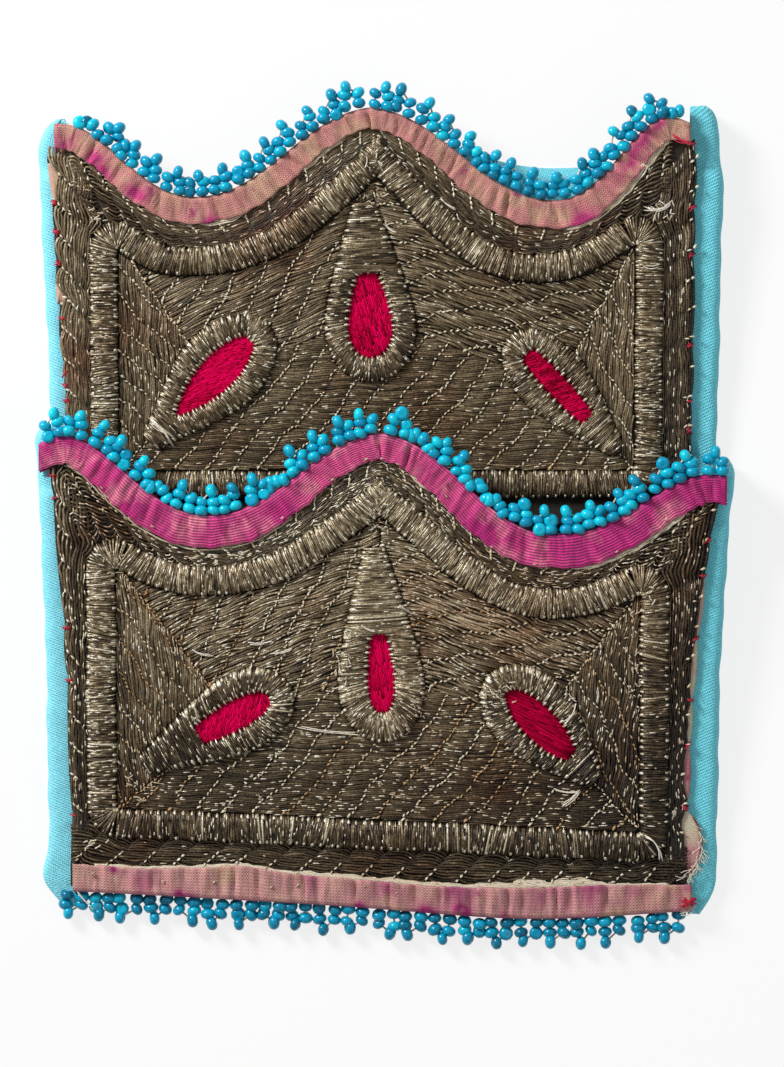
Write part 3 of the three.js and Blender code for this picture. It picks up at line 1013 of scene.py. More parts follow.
class Effects:
    """Shader groups that several finishes share, each built once."""

    made: dict[str, bpy.types.NodeTree] = {}

    @classmethod
    def group(
        cls, name: str, inputs: Mapping[str, float | None], outputs: Sequence[str], fill: Callable
    ) -> bpy.types.NodeTree:
        """Builds a group the first time it is asked for.

        Args:
            name: name of the group.
            inputs: value of each input by its name, or None for a vector.
            outputs: names of the outputs, all of them values.
            fill: function of a node book and the input sockets that returns the output sockets.

        Returns:
            The group's tree.
        """
        if name not in cls.made:
            tree = bpy.data.node_groups.new(name, "ShaderNodeTree")
            for label, value in inputs.items():
                kind = "NodeSocketVector" if value is None else "NodeSocketFloat"
                socket = tree.interface.new_socket(label, in_out="INPUT", socket_type=kind)
                if value is not None:
                    socket.default_value = value
            for label in outputs:
                tree.interface.new_socket(label, in_out="OUTPUT", socket_type="NodeSocketFloat")
            source = tree.nodes.new("NodeGroupInput")
            target = tree.nodes.new("NodeGroupOutput")
            for label, socket in zip(outputs, fill(NodeBook(tree), source.outputs)):
                tree.links.new(socket, target.inputs[label])
            cls.made[name] = tree
        return cls.made[name]

    @classmethod
    def blotches(cls) -> bpy.types.NodeTree:
        """Soft patches: a mask from noise, with its scale, the share that it covers and its softness."""

        def fill(book: NodeBook, pins: Mapping[str, Socket]) -> list[Socket]:
            """Noise cut at a level.

            Args:
                book: nodes of the group.
                pins: its inputs by name.

            Returns:
                Its outputs.
            """
            noise = book.noise(pins["Vector"], pins["Scale"], 4.0)
            over = book.math("SUBTRACT", noise, book.math("SUBTRACT", 1.0, pins["Cover"]))
            return [book.clamp(book.math("DIVIDE", over, pins["Softness"]))]

        inputs = {"Vector": None, "Scale": 100.0, "Cover": 0.5, "Softness": 0.2}
        return cls.group("blotches", inputs, ["Mask"], fill)

    @classmethod
    def weave(cls) -> bpy.types.NodeTree:
        """Plain weave on cloth measured in millimetres: height of the threads, and their shade."""

        def fill(book: NodeBook, pins: Mapping[str, Socket]) -> list[Socket]:
            """Two crossing waves, stronger along the ribs.

            Args:
                book: nodes of the group.
                pins: its inputs by name.

            Returns:
                Its outputs.
            """
            axes = book.axes(pins["Cloth"])
            around = book.math("DIVIDE", 2 * math.pi, pins["Pitch"])
            warp, weft = (book.math("SINE", book.math("MULTIPLY", axes[i], around)) for i in (0, 1))
            crossed = book.math("MULTIPLY", warp, weft)
            ribbed = book.math("MULTIPLY", weft, pins["Rib"])
            plain = book.math("MULTIPLY", crossed, book.math("SUBTRACT", 1.0, pins["Rib"]))
            total = book.math("ADD", ribbed, plain)
            return [book.math("MULTIPLY_ADD", total, 0.5, 0.5), total]

        inputs = {"Cloth": None, "Pitch": 0.3, "Rib": 0.5}
        return cls.group("weave", inputs, ["Height", "Shade"], fill)


class Finish:
    """A material with its node book and its Principled shader."""

    def __init__(self, name: str) -> None:
        """Starts an empty material.

        Args:
            name: name of the material.
        """
        self.material = bpy.data.materials.new(name)
        self.material.use_nodes = True
        self.book = NodeBook(self.material.node_tree)
        self.shader = self.book.tree.nodes["Principled BSDF"]

    def set(self, **values: object) -> None:
        """Sets or links sockets of the shader. Underscores in a name stand for spaces."""
        for key, value in values.items():
            self.book.feed(self.shader.inputs[key.replace("_", " ")], value)

    def attribute(self, name: str, output: str) -> Socket:
        """Reads an attribute of the mesh."""
        return self.book.add("Attribute", attribute_name=name).outputs[output]

    def here(self) -> Socket:
        """Place on the object."""
        return self.book.add("TexCoord").outputs["Object"]

    def blotches(self, place: Socket, scale: float, cover: float, softness: float) -> Socket:
        """Mask of soft patches."""
        inputs = {"Vector": place, "Scale": scale, "Cover": cover, "Softness": softness}
        return self.book.add("Group", inputs, node_tree=Effects.blotches()).outputs["Mask"]

    def weave(self, cloth: Socket, pitch: float, rib: float) -> Mapping[str, Socket]:
        """Plain weave over the cloth: its height and its shade."""
        inputs = {"Cloth": cloth, "Pitch": pitch, "Rib": rib}
        return self.book.add("Group", inputs, node_tree=Effects.weave()).outputs

    def bump(self, height: Socket, depth: float, strength: float, under: Socket | None = None) -> Socket:
        """Raises the surface by a height.

        Args:
            height: the height, about 0 to 1.
            depth: depth of the whole height, in millimetres.
            strength: how much of it shows.
            under: an earlier bump that this one lies over.

        Returns:
            The bumped normal.
        """
        inputs = {"Height": height, "Distance": depth * MM, "Strength": strength}
        if under is not None:
            inputs["Normal"] = under
        normal = self.book.add("Bump", inputs).outputs[0]
        self.set(Normal=normal)
        return normal

    def shaded(self, colour: Socket, value: Socket) -> Socket:
        """Colour made lighter or darker by a value."""
        grey = self.book.add("CombineColor", {0: value, 1: value, 2: value}).outputs[0]
        return self.book.mix(1.0, colour, grey, "MULTIPLY")


@dataclass(frozen=True)
class ThreadFinish:
    """Thread whose colour follows its tone, with patches where it is darker or browner."""

    name: str
    stops: Stops
    patch: Colour
    patch_share: float
    metallic: float
    roughness: float
    specular: float = 0.5
    fibre_scale: float = 2600.0
    patch_scale: float = 55.0

    def build(self) -> Material:
        """Makes the material."""
        finish = Finish(self.name)
        book = finish.book
        place = finish.here()
        fine = book.noise(place, self.fibre_scale, 2.0)
        tone = book.math("ADD", finish.attribute("tone", "Fac"), book.remap(fine, NOISE_SPAN, (-0.1, 0.1)))
        base = book.ramp(tone, self.stops)
        wide = finish.blotches(place, self.patch_scale, 0.5, 0.25)
        tint = book.mix(1.0, base, self.patch, "MULTIPLY")
        finish.set(Base_Color=book.mix(book.math("MULTIPLY", wide, self.patch_share), base, tint))
        rough = book.remap(fine, NOISE_SPAN, (self.roughness - 0.08, self.roughness + 0.1))
        finish.set(Metallic=self.metallic, Specular_IOR_Level=self.specular, Roughness=rough)
        finish.bump(fine, 0.05, 0.5)
        return finish.material


@dataclass(frozen=True)
class RibbonFinish:
    """Ribbed silk ribbon that fades from its dye to a dusty tone, with small folds across it."""

    name: str
    dye: Colour
    faded: Colour
    tan: Colour
    stain: Colour
    stain_cover: float
    rib_pitch: float = 0.5
    rib: float = 0.3
    depth: Pair = (0.52, 1.36)
    fold_turn: float = 0.3
    fold_scale: tuple[float, float, float] = (0.75, 0.16, 0.0)

    def build(self) -> Material:
        """Makes the material."""
        finish = Finish(self.name)
        book = finish.book
        cloth = finish.attribute("cloth", "Vector")
        place = finish.here()
        worn = finish.blotches(place, 260.0, 0.5, 0.35)
        fade = book.math("ADD", book.axes(cloth)[2], book.remap(worn, UNIT, (-0.25, 0.25)))
        base = book.mix(book.clamp(fade), self.dye, self.faded)
        base = book.mix(book.math("MULTIPLY", finish.blotches(place, 170.0, 0.5, 0.16), 0.75), base, self.tan)
        stained = finish.blotches(place, 330.0, self.stain_cover, 0.12)
        base = book.mix(book.math("MULTIPLY", stained, 0.85), base, self.stain)
        turned = {"Vector": cloth, "Rotation": (0.0, 0.0, self.fold_turn), "Scale": self.fold_scale}
        folds = book.noise(book.add("Mapping", turned).outputs[0], 1.0, 3.0)
        # Darker in the hollows of the fold noise and paler on its crests: painted shade of the folds, over
        # their bump.
        base = finish.shaded(base, book.remap(folds, NOISE_SPAN, (0.64, 1.18)))
        woven = finish.weave(cloth, self.rib_pitch, self.rib)
        finish.set(Base_Color=finish.shaded(base, book.remap(woven["Shade"], WAVE_SPAN, self.depth)))
        finish.set(Roughness=0.7, Sheen_Weight=0.08)
        crumpled = finish.bump(folds, 0.55, 0.9)
        finish.bump(woven["Height"], 0.12, 0.8, crumpled)
        return finish.material


@dataclass(frozen=True)
class CottonFinish:
    """Plain woven cotton, its shade changing from the left of the pouch to the right."""

    name: str
    left: Colour
    right: Colour
    soil: Colour
    pitch: float = 0.5
    bias: float = 64.0

    def build(self) -> Material:
        """Makes the material."""
        finish = Finish(self.name)
        book = finish.book
        place = finish.here()
        share = book.remap(book.axes(place)[0], (-0.04, 0.04), UNIT)
        base = book.mix(share, self.left, self.right)
        soil = finish.blotches(place, 90.0, 0.42, 0.3)
        base = book.mix(book.math("MULTIPLY", soil, 0.3), base, self.soil)
        depth = book.remap(share, UNIT, (0.13, 0.22))
        cloth = finish.attribute("cloth", "Vector")
        turned = {"Vector": cloth, "Rotation": (0.0, 0.0, math.radians(self.bias))}
        woven = finish.weave(book.add("Mapping", turned).outputs[0], self.pitch, 0.5)
        uneven = book.noise(place, 1500.0, 2.0)
        base = finish.shaded(base, book.remap(uneven, NOISE_SPAN, (0.9, 1.08)))
        shade = book.math("MULTIPLY_ADD", woven["Shade"], depth, 0.95)
        finish.set(Base_Color=finish.shaded(base, shade), Roughness=0.85, Sheen_Weight=0.1)
        finish.bump(woven["Height"], 0.16, 0.9)
        return finish.material


@dataclass(frozen=True)
class GroundFinish:
    """Ground cloth: dark under the thread, and cream or dyed where its edge shows."""

    name: str
    dark: Colour
    cream: Colour
    salmon: Colour
    dyed: Colour

    def build(self) -> Material:
        """Makes the material."""
        finish = Finish(self.name)
        book = finish.book
        place = finish.here()
        cloth = finish.attribute("cloth", "Vector")
        dye = book.axes(cloth)[2]
        patched = book.remap(finish.blotches(place, 160.0, 0.5, 0.2), UNIT, (-0.3, 0.2))
        share = book.math("ADD", book.remap(dye, (0.2, 1.0), UNIT), patched)
        colour = book.mix(book.remap(book.axes(place)[0], (-0.01, 0.01), UNIT), self.salmon, self.dyed)
        lining = book.mix(book.clamp(share), self.cream, colour)
        # The dark ground shows in the gaps left beside ridges and bands, where it stands in for their shadow:
        # painted shadow.
        base = book.mix(book.remap(dye, (0.02, 0.12), UNIT), self.dark, lining)
        woven = finish.weave(cloth, 0.4, 0.2)
        finish.set(Base_Color=finish.shaded(base, book.remap(woven["Shade"], WAVE_SPAN, (0.75, 1.1))))
        finish.set(Roughness=0.9)
        finish.bump(woven["Height"], 0.1, 0.7)
        return finish.material


@dataclass(frozen=True)
class BeadFinish:
    """Opaque glass beads, each in its own shade."""

    name: str
    stops: Stops

    def build(self) -> Material:
        """Makes the material."""
        finish = Finish(self.name)
        book = finish.book
        fine = book.noise(finish.here(), 900.0, 2.0)
        uneven = book.remap(fine, NOISE_SPAN, (-0.06, 0.06))
        tone = book.math("ADD", finish.attribute("tone", "Fac"), uneven)
        finish.set(Base_Color=book.ramp(tone, self.stops), Coat_Weight=0.1, Coat_Roughness=0.08)
        finish.set(Roughness=book.remap(fine, NOISE_SPAN, (0.18, 0.3)), Specular_IOR_Level=0.32)
        return finish.material


class Palette:
    """All finishes of the pouch, built once."""

    def __init__(self) -> None:
        """Builds every finish."""
        self.dye_threads()
        self.dye_ribbons()
        self.cotton = CottonFinish(
            "turquoise_cotton", screen(132, 220, 236), screen(116, 220, 236), screen(92, 172, 186)
        ).build()
        # The dark ground colour also serves as painted shadow in the gaps beside the ridges and bands.
        dark, cream = screen(44, 36, 27), screen(206, 194, 168)
        self.ground = GroundFinish(
            "ground_cloth", dark, cream, screen(204, 140, 124), screen(186, 60, 112)
        ).build()
        glaze = shades((0.0, 0, 92, 120), (0.5, 0, 150, 188), (1.0, 10, 200, 224))
        self.beads = BeadFinish("bead_glass", glaze).build()

    def dye_threads(self) -> None:
        """Builds the finishes of the metal, silk and cotton threads."""
        tarnish = shades(
            (0.0, 24, 18, 11), (0.3, 86, 72, 52), (0.55, 142, 124, 96), (0.78, 206, 194, 164),
            (1.0, 242, 236, 218),
        )
        rust, brick = screen(204, 148, 110), screen(214, 132, 96)
        beige = shades((0.0, 130, 86, 46), (0.4, 188, 148, 100), (0.65, 204, 188, 154), (1.0, 232, 224, 204))
        magenta = shades((0.0, 120, 0, 28), (0.5, 206, 0, 70), (1.0, 234, 0, 100))
        scarlet = shades((0.0, 110, 6, 26), (0.5, 184, 12, 48), (1.0, 218, 50, 84))
        pale = shades((0.0, 150, 132, 104), (0.5, 206, 192, 164), (1.0, 240, 234, 222))
        self.metal = ThreadFinish("laid_metal_thread", tarnish, rust, 0.75, 0.25, 0.42).build()
        self.rusty = ThreadFinish("border_metal_thread", tarnish, brick, 0.85, 0.2, 0.45).build()
        self.satin = ThreadFinish("satin_metal_thread", tarnish, rust, 0.3, 0.3, 0.38).build()
        self.couching = ThreadFinish("couching_thread", beige, screen(225, 200, 170), 0.4, 0.0, 0.6).build()
        self.floss = ThreadFinish("silk_floss", magenta, screen(196, 120, 150), 0.5, 0.0, 0.7, 0.04).build()
        self.red = ThreadFinish("red_sewing_thread", scarlet, screen(200, 160, 160), 0.4, 0.0, 0.6).build()
        self.cream = ThreadFinish("pale_cotton_thread", pale, screen(232, 214, 190), 0.4, 0.0, 0.8).build()

    def dye_ribbons(self) -> None:
        """Builds the finishes of the three silk ribbons."""
        dusty, pale, tan = screen(197, 144, 123), screen(208, 160, 146), screen(194, 156, 126)
        plum, purple = screen(184, 44, 112), screen(160, 24, 104)
        wine, claret = screen(180, 14, 112), screen(124, 10, 74)
        rose, pink = screen(214, 82, 132), screen(224, 128, 148)
        self.faded = RibbonFinish("faded_silk", plum, dusty, tan, purple, 0.37).build()
        self.bright = RibbonFinish(
            "bright_silk", wine, rose, pink, claret, 0.36, rib_pitch=0.52, rib=0.85, depth=(0.4, 1.6)
        ).build()
        self.hem = RibbonFinish("hem_silk", purple, pale, tan, purple, 0.36).build()


@dataclass
class GroundCloth:
    """Ground cloth of one panel, under all its thread."""

    tier: Tier
    palette: Palette
    thickness: float = 0.5
    rows: int = 110
    columns: int = 24
    tuck: float = 1.1
    rim: float = 0.03

    def mouth(self) -> FlatPath:
        """Upper edge of the cloth, a little below the mouth, with its ends brought down."""
        line = self.tier.edge.path().beside(np.linspace(0, 1, 200), -self.tuck)
        steps = np.array([(4.0, 4.8), (0.3, 4.4)])
        left_end = line[0] - steps
        right_end = line[-1] + steps[::-1] * np.array([1, -1])
        return FlatPath(np.concatenate([left_end, line, right_end]))

    def build(self) -> Piece:
        """Makes the cloth, its lining showing past the thread here and there."""
        tier, mouth = self.tier, self.mouth()
        near = np.array([0.0, 0.006, 0.015, 0.027])
        u = np.concatenate([near, np.linspace(0.036, 0.964, self.columns), 1 - near[::-1]])[None, :]
        f = np.linspace(0, 1, self.rows)[:, None]
        lines, dyes = [], []
        for side in Side:
            low = tier.foot_at(tier.panel_foot[side.value])
            tall = low + (mouth.height(tier.panel_mouth[side.value]) - low) * f
            lines.append(tier.side_line(side, tall))
            dyes.append(tier.lining_at(side, tall)[1])
        left, right = lines
        x = left + (right - left) * u
        top, foot = mouth.height(x), tier.foot_at(x)
        v = foot + (top - foot) * f
        grid = tier.place(np.stack([x, v], axis=-1), self.thickness / 2)
        dye = dyes[0] * (u < self.rim) + dyes[1] * (u > 1 - self.rim)
        lay = np.stack([x, v, dye], axis=-1)
        cloth = cloth_sheet(f"{tier.name}_ground_cloth", grid, lay, self.thickness, self.palette.ground)
        show(cloth, Slot.LAID, f"{tier.name}_panel")
        return cloth


@dataclass
class LaidWork:
    """Metal thread laid side by side over the field and the borders, and the couching that holds it."""

    tier: Tier
    palette: Palette
    pitch: float = 0.35
    width: float = 0.47
    height: float = 0.18
    floor: float = 0.66
    puff: float = 0.2
    dot_pitch: float = 0.8
    dot_length: float = 0.5
    ridge_half: float = 2.45
    shadow_gap: float = 0.15
    grain: float = 0.25
    shortest: float = 1.2
    field_tone: float = 0.26
    scatter: Pair = (0.08, 0.07)
    clearance: float = 0.5
    beats: tuple[float, ...] = (0.0, 0.15, 0.4, 0.65, 0.85)

    def __post_init__(self) -> None:
        """Starts the threads and the seeded scatter."""
        self.rng = np.random.default_rng(self.tier.seed)
        self.threads = ThreadWork()
        self.border = ThreadWork()
        self.dots = ThreadWork()
        self.crest = self.tier.crest.path()
        angles = np.linspace(0, 2 * np.pi, 72, endpoint=False)
        self.covers = [drop.settle(drop.band_edge(angles) * 0.98) for drop in self.tier.drops]

    def clear(self, points: Array) -> Array:
        """Finds places in the field that no band or ridge covers, with a dark gap beside them.

        Args:
            points: places on the panel.

        Returns:
            True for each place that is clear.
        """
        x, v = points[..., 0], points[..., 1]
        # This gap lays the dark ground bare beside each ridge and band as a painted shadow.
        keep = self.ridge_half + self.shadow_gap
        rise = self.crest.height(x + 0.5) - self.crest.height(x - 0.5)
        held = (self.crest.height(x) - v) / np.sqrt(1 + rise**2) > keep
        held &= v - self.tier.rail_at(x) > keep
        held &= (x > self.tier.ridge_sides[0] + keep) & (x < self.tier.ridge_sides[1] - keep)
        for cover in self.covers:
            held &= ~inside(points, cover)
        return held

    def zones(self) -> dict[Quarter, Array]:
        """Outlines of the field's quarters, from the frame's corners to the middles of the leaves."""
        tier = self.tier
        left, right = tier.ridge_sides
        low = [(x, float(tier.rail_at(x))) for x in tier.ridge_sides]
        high = [(x, float(self.crest.height(x))) for x in tier.ridge_sides]
        west, middle, east = (drop.at for drop in tier.drops)
        peak = tier.crest.peak
        over = self.crest.points
        rising = over[(over[:, 0] > left) & (over[:, 0] < peak[0])]
        falling = over[(over[:, 0] > peak[0]) & (over[:, 0] < right)]
        return {
            Quarter.WEST: np.array([high[0], low[0], west]),
            Quarter.EAST: np.array([high[1], east, low[1]]),
            Quarter.SOUTH: np.array([low[0], low[1], east, middle, west]),
            Quarter.NORTH_WEST: np.array([high[0], west, middle, peak, *rising[::-1]]),
            Quarter.NORTH_EAST: np.array([peak, middle, east, high[1], *falling[::-1]]),
        }

    def phases(self, start: float, end: float) -> Array:
        """Places to divide a thread at between two phases, so that it can dip at every whole one.

        Args:
            start: phase at its start.
            end: phase at its end.

        Returns:
            Phases from the start to the end.
        """
        low, high = min(start, end), max(start, end)
        marks = np.add.outer(np.arange(math.floor(low), math.ceil(high) + 1), self.beats).ravel()
        marks = marks[(marks > low + 0.04) & (marks < high - 0.04)]
        marks = np.concatenate([[low], marks, [high]])
        return marks if end > start else marks[::-1]

    def hump(self, marks: Array) -> Array:
        """How high a thread puffs up between the whole phases, 0 to 1."""
        return np.abs(np.sin(np.pi * marks)) ** 0.6

    def lay_one(self, work: ThreadWork, flat: Array, rise: Array, base: Array, flecks: float = 1.0) -> None:
        """Lays one thread, with crisp pale flecks where it is worn.

        Args:
            work: threads to add it to.
            flat: places on the panel that it goes through.
            rise: its height at each place.
            base: its tone at each place, before its own scatter.
            flecks: how worn it is, against the field.
        """
        rng, tier = self.rng, self.tier
        shade = tier.shade(flat)
        tones = base + shade + self.scatter[0] * rng.normal() + self.scatter[1] * rng.normal(size=len(flat))
        line = tier.place(flat, rise)
        work.lay(line, tier.normal, self.width, self.height, np.clip(tones, 0.02, 1.0), taper=0.8)
        run = running(flat)
        many = rng.poisson(run[-1] * flecks * tier.wear * (1 + 8 * max(0.0, float(shade.mean()))))
        if many:
            spots = rng.uniform(0, run[-1], (many, 1)) + rng.uniform(0.5, 1.5, (many, 1)) * FLECK
            lines = through(spots, run, line) + 0.09 * tier.normal
            work.fleck(lines, tier.normal, rng.uniform(0.7, 1.0, (many, 1)))

    def lay_quarter(self, outline: Array, run: Run) -> None:
        """Fills one quarter of the field with thread, drawn down along its couching rows.

        Args:
            outline: corners of the quarter.
            run: how its thread lies.
        """
        rng, rows = self.rng, math.radians(run.rows)
        way = heading(math.radians(run.thread))
        off, square = left_of(way), left_of(heading(rows))
        middle = outline.mean(axis=0)
        reach = (outline - middle) @ way
        spread = (outline - middle) @ off
        sag = run.bend * np.abs(reach).max() ** 2
        offsets = np.arange(spread.min() - sag, spread.max() + sag, self.pitch)
        offsets = (offsets + rng.normal(0, 0.03, len(offsets)))[:, None]
        bow, sway = rng.uniform(0, 2 * np.pi, 2)
        along = np.arange(reach.min(), reach.max(), self.grain)[None, :]
        lift = offsets - run.bend * along**2
        lift = lift + 0.25 * np.sin(2 * np.pi * (along / 14 + offsets / 23) + bow)
        period = rng.uniform(5.0, 13.0, offsets.shape)
        start = rng.uniform(0, 2 * np.pi, offsets.shape)
        lift = lift + 0.8 * run.twist * np.sin(2 * np.pi * along / period + start)
        points = middle + along[..., None] * way + lift[..., None] * off
        held = inside(points, outline) & self.clear(points)
        for line, kept in zip(points, held):
            edges = np.flatnonzero(np.diff(np.concatenate([[0], kept.astype(int), [0]])))
            for first, last in zip(edges[::2], edges[1::2]):
                if (last - first) * self.grain < self.shortest:
                    continue
                stretch = line[first:last]
                level = (stretch @ square + self.row_warp(stretch, rows, sway)) / run.pitch
                marks = self.phases(float(level[0]), float(level[-1]))
                order = np.argsort(level)
                flat = through(marks, level[order], stretch[order])
                hump = self.hump(marks)
                drift = 0.5 * run.twist * np.sin(2 * np.pi * marks) + rng.normal(0, 0.02, len(marks))
                # The tone is paler on each puff and darker in the grooves by the couching rows, a painted
                # shade; the sawtooth over each phase paints one side of every puff lit and the other shaded.
                tones = self.field_tone + 0.1 * hump + 0.1 * (marks - np.floor(marks) - 0.5)
                rise = self.floor + rng.uniform(-0.04, 0.04) + self.puff * hump
                self.lay_one(self.threads, flat + off * drift[:, None], rise, tones)
        self.couch_quarter(outline, run, sway)

    def row_warp(self, points: Array, rows: float, sway: float) -> Array:
        """How far the couching rows wander from straight lines."""
        along = points @ heading(rows)
        return 0.5 * np.sin(2 * np.pi * along / 19 + sway) + 0.2 * np.sin(2 * np.pi * along / 7 + 2 * sway)

    def couch_quarter(self, outline: Array, run: Run, sway: float) -> None:
        """Sets rows of short couching stitches over one quarter.

        Args:
            outline: corners of the quarter.
            run: how its rows lie.
            sway: phase of the rows' wandering.
        """
        rng, rows = self.rng, math.radians(run.rows)
        way = heading(rows)
        square = left_of(way)
        levels = outline @ square / run.pitch
        reach = outline @ way
        for level in range(math.ceil(levels.min()), math.floor(levels.max()) + 1):
            along = np.arange(reach.min(), reach.max(), self.dot_pitch * rng.uniform(0.85, 1.35))
            along = along + rng.normal(0, 0.1, len(along))
            drift = rng.normal(0, 0.1, len(along))
            drift = drift - self.row_warp(along[:, None] * way, rows, sway)
            points = along[:, None] * way + (level * run.pitch + drift)[:, None] * square
            held = inside(points, outline) & self.clear(points)
            self.row(points[held & (rng.random(len(points)) > 0.08)], way)

    def row(self, points: Array, way: Array) -> None:
        """Sets one row of couching stitches, with a larger one at its end.

        Args:
            points: middles of the stitches.
            way: direction of the row.
        """
        tone = self.row_tone()
        for index, point in enumerate(points):
            self.dot(point, way, tone, self.floor + self.height, 1.5 if index == 0 else 1.0)

    def seams(self) -> None:
        """Rows of couching stitches from the frame's corners to the outer leaves, where two quarters meet."""
        for side, drop in zip(Side, (self.tier.drops[0], self.tier.drops[2])):
            x = self.tier.ridge_sides[side.value]
            for v in (float(self.tier.rail_at(x)), float(self.crest.height(x))):
                path = FlatPath(np.array([(x, v), drop.at]))
                share = np.arange(0, 1, 0.8 / path.length)
                points = path.beside(share, self.rng.normal(0, 0.16, len(share)))
                self.row(points[self.clear(points)], path.along(np.array([0.5]))[0])

    def row_tone(self) -> float:
        """Tone of one row of couching: pale, or tan for about half the rows of the lower panel."""
        tan = self.tier.lower and self.rng.random() < 0.5
        return float(self.rng.uniform(0.25, 0.45) if tan else self.rng.uniform(0.6, 0.85))

    def dot(self, point: Array, way: Array, tone: float, level: float, size: float = 1.0) -> None:
        """One couching stitch over the laid thread.

        Args:
            point: its middle.
            way: its direction.
            tone: its tone, 0 to 1.
            level: height of the thread under it.
            size: its size, against the usual one.
        """
        turned = way + self.rng.normal(0, 0.3) * left_of(way)
        long = size * self.dot_length * self.rng.uniform(0.7, 1.4)
        flat = point + FLECK[:, None] * long * turned / np.linalg.norm(turned)
        rise = level + np.array([-0.14, 0.04, 0.04, -0.14])
        tones = np.clip(tone + self.rng.normal(0, 0.12, 4), 0, 1)
        wide = size * self.rng.uniform(0.26, 0.4)
        self.dots.lay(self.tier.place(flat, rise), self.tier.normal, wide, 0.3 * size, tones)

    def lay_border(self, line_at: Callable, length: float, wide: float, border: Border) -> None:
        """Fills one border with thread along it, tied down across at intervals.

        Args:
            line_at: function of shares along and shares across that returns places on the panel.
            length: length of the border.
            wide: width of the border.
            border: how it is tied.
        """
        slant, ties = border.slant, border.ties
        bare = self.rng.random(int(length / ties) + 8) < border.bare
        count = max(4, int(wide / self.pitch))
        for k in (np.arange(count) + 0.5) / count:
            marks = self.phases(-slant * k / ties, (length - slant * k) / ties)
            share = (marks * ties + slant * k) / length
            hump = self.hump(marks)
            drawn = k + (0.5 - k) * border.pinch * (1 - hump)
            flat = line_at(share, drawn) + self.rng.normal(0, 0.07, (len(marks), 2))
            crown = math.sin(math.pi * k) ** 0.5
            pale = 0.3 * bare[np.floor(marks).astype(int) + 3] * (hump > 0.5) * (k < 0.28)
            # Paler on each puff of the bundles and darker where the ties pull them in: painted shade. The
            # outer rim term is a painted shadow.
            tones = border.tone + 0.13 * hump + pale - border.seam * (k < 0.16)
            rise = self.floor + (0.1 + 0.3 * crown) * (0.5 + 0.5 * hump)
            self.lay_one(self.border, flat, rise, tones, border.flecks)
        level = self.floor + self.height + 0.16
        for tie in range(1, int(length / ties) + 1):
            tone = max(0.6, self.row_tone()) + 0.12
            low, high = np.array(border.span) + self.rng.normal(0, 0.04, 2)
            for k in np.arange(low, high, 0.85 / wide):
                share = np.array([(tie * ties + slant * k) / length])
                drawn = np.array([k + (0.5 - k) * border.pinch])
                here = line_at(share, drawn)[0]
                way = line_at(share + 0.1 * slant / length, drawn + 0.07)[0] - here
                if 0.0 < share[0] < 0.99:
                    self.dot(here, way / np.linalg.norm(way), tone, level, border.blob)

    def lay_borders(self) -> None:
        """Lays the borders along the mouth, the sides and, on the lower panel, the foot."""
        tier = self.tier
        edge = tier.edge.path()
        clear = self.ridge_half - self.clearance

        def along_mouth(share: Array, across: Array) -> Array:
            """Between the binding and the top ridges.

            Args:
                share: shares along the border.
                across: shares across it, from the outside.

            Returns:
                Places on the panel.
            """
            outer = edge.beside(0.005 + 0.99 * share, -(tier.ribbon_at(share) - 0.9))
            end = np.clip(1 - np.minimum(share, 1 - share) / 0.1, 0, 1)
            inner = self.crest.beside(share, clear - 3.4 * end)
            return outer + (inner - outer) * np.asarray(across)[..., None]

        def along_foot(share: Array, across: Array) -> Array:
            """Between the bottom rail and the bottom binding.

            Args:
                share: shares along the border.
                across: shares across it, from the rail down.

            Returns:
                Places on the panel.
            """
            left, right = (tier.side_line(side, 4.0) - side.sign * 0.2 for side in Side)
            x = left + (right - left) * share
            corner = share_of(np.abs(x + 1.2), 45.6, 3.6)
            top = tier.rail_at(x) - clear + 2.4 * corner
            foot = HEM.height(x) - tier.foot_y + hem_width(x) - 0.7
            return np.stack([x, top + (foot - top) * across], axis=-1)

        mouth = Border(1.2, 4.3, 0.25, (0.14, 0.5), 0.0 if tier.lower else 0.14)
        self.lay_border(along_mouth, edge.length, 6.4, mouth)
        for side in Side:
            self.lay_side(side)
        if tier.lower:
            foot = Border(-4.4, 5.4, 0.35, (0.5, 0.99), 0.22, 0.0, blob=1.15, flecks=0.3)
            self.lay_border(along_foot, 106.0, 5.0, foot)

    def lay_side(self, side: Side) -> None:
        """Lays the border along one side of the panel.

        Args:
            side: the side.
        """
        tier = self.tier
        ridge = tier.ridge_sides[side.value] + side.sign * (self.ridge_half - self.clearance)
        corner = tier.edge.ends[side.value][1] - 3.2
        inner_corner = tier.crest.ends[side.value][1] + 5.6
        low = float(tier.rail_at(ridge)) - self.ridge_half if tier.lower else 2.0
        turn = float(self.crest.height(tier.ridge_sides[side.value]))

        def along_side(share: Array, across: Array) -> Array:
            """Between the panel's side and a side ridge.

            Args:
                share: shares along the border.
                across: shares across it, from the outside.

            Returns:
                Places on the panel.
            """
            v = low + (corner + (inner_corner - corner) * across - low) * share
            x = tier.side_line(side, v) - side.sign * (0.1 + tier.lining_at(side, v)[0])
            inner = ridge - side.sign * 1.8 * np.exp(-(((v - turn) / 2.2) ** 2))
            return np.stack([x + (inner - x) * across, v], axis=-1)

        wide = abs(float(tier.panel_side(side, 30.0)) - ridge)
        left = Border(-1.8, 5.5, 0.25, (0.02, 0.5), 0.06 if tier.lower else 0.27, 0.1)
        # The right border's outer rim is darkened as a painted shadow where the panel meets the gusset.
        right = Border(0.6, 5.2, 0.02, (0.0, 0.16), 0.06 if tier.lower else 0.08, 0.05, seam=0.2)
        self.lay_border(along_side, corner - low, wide, left if side is Side.LEFT else right)

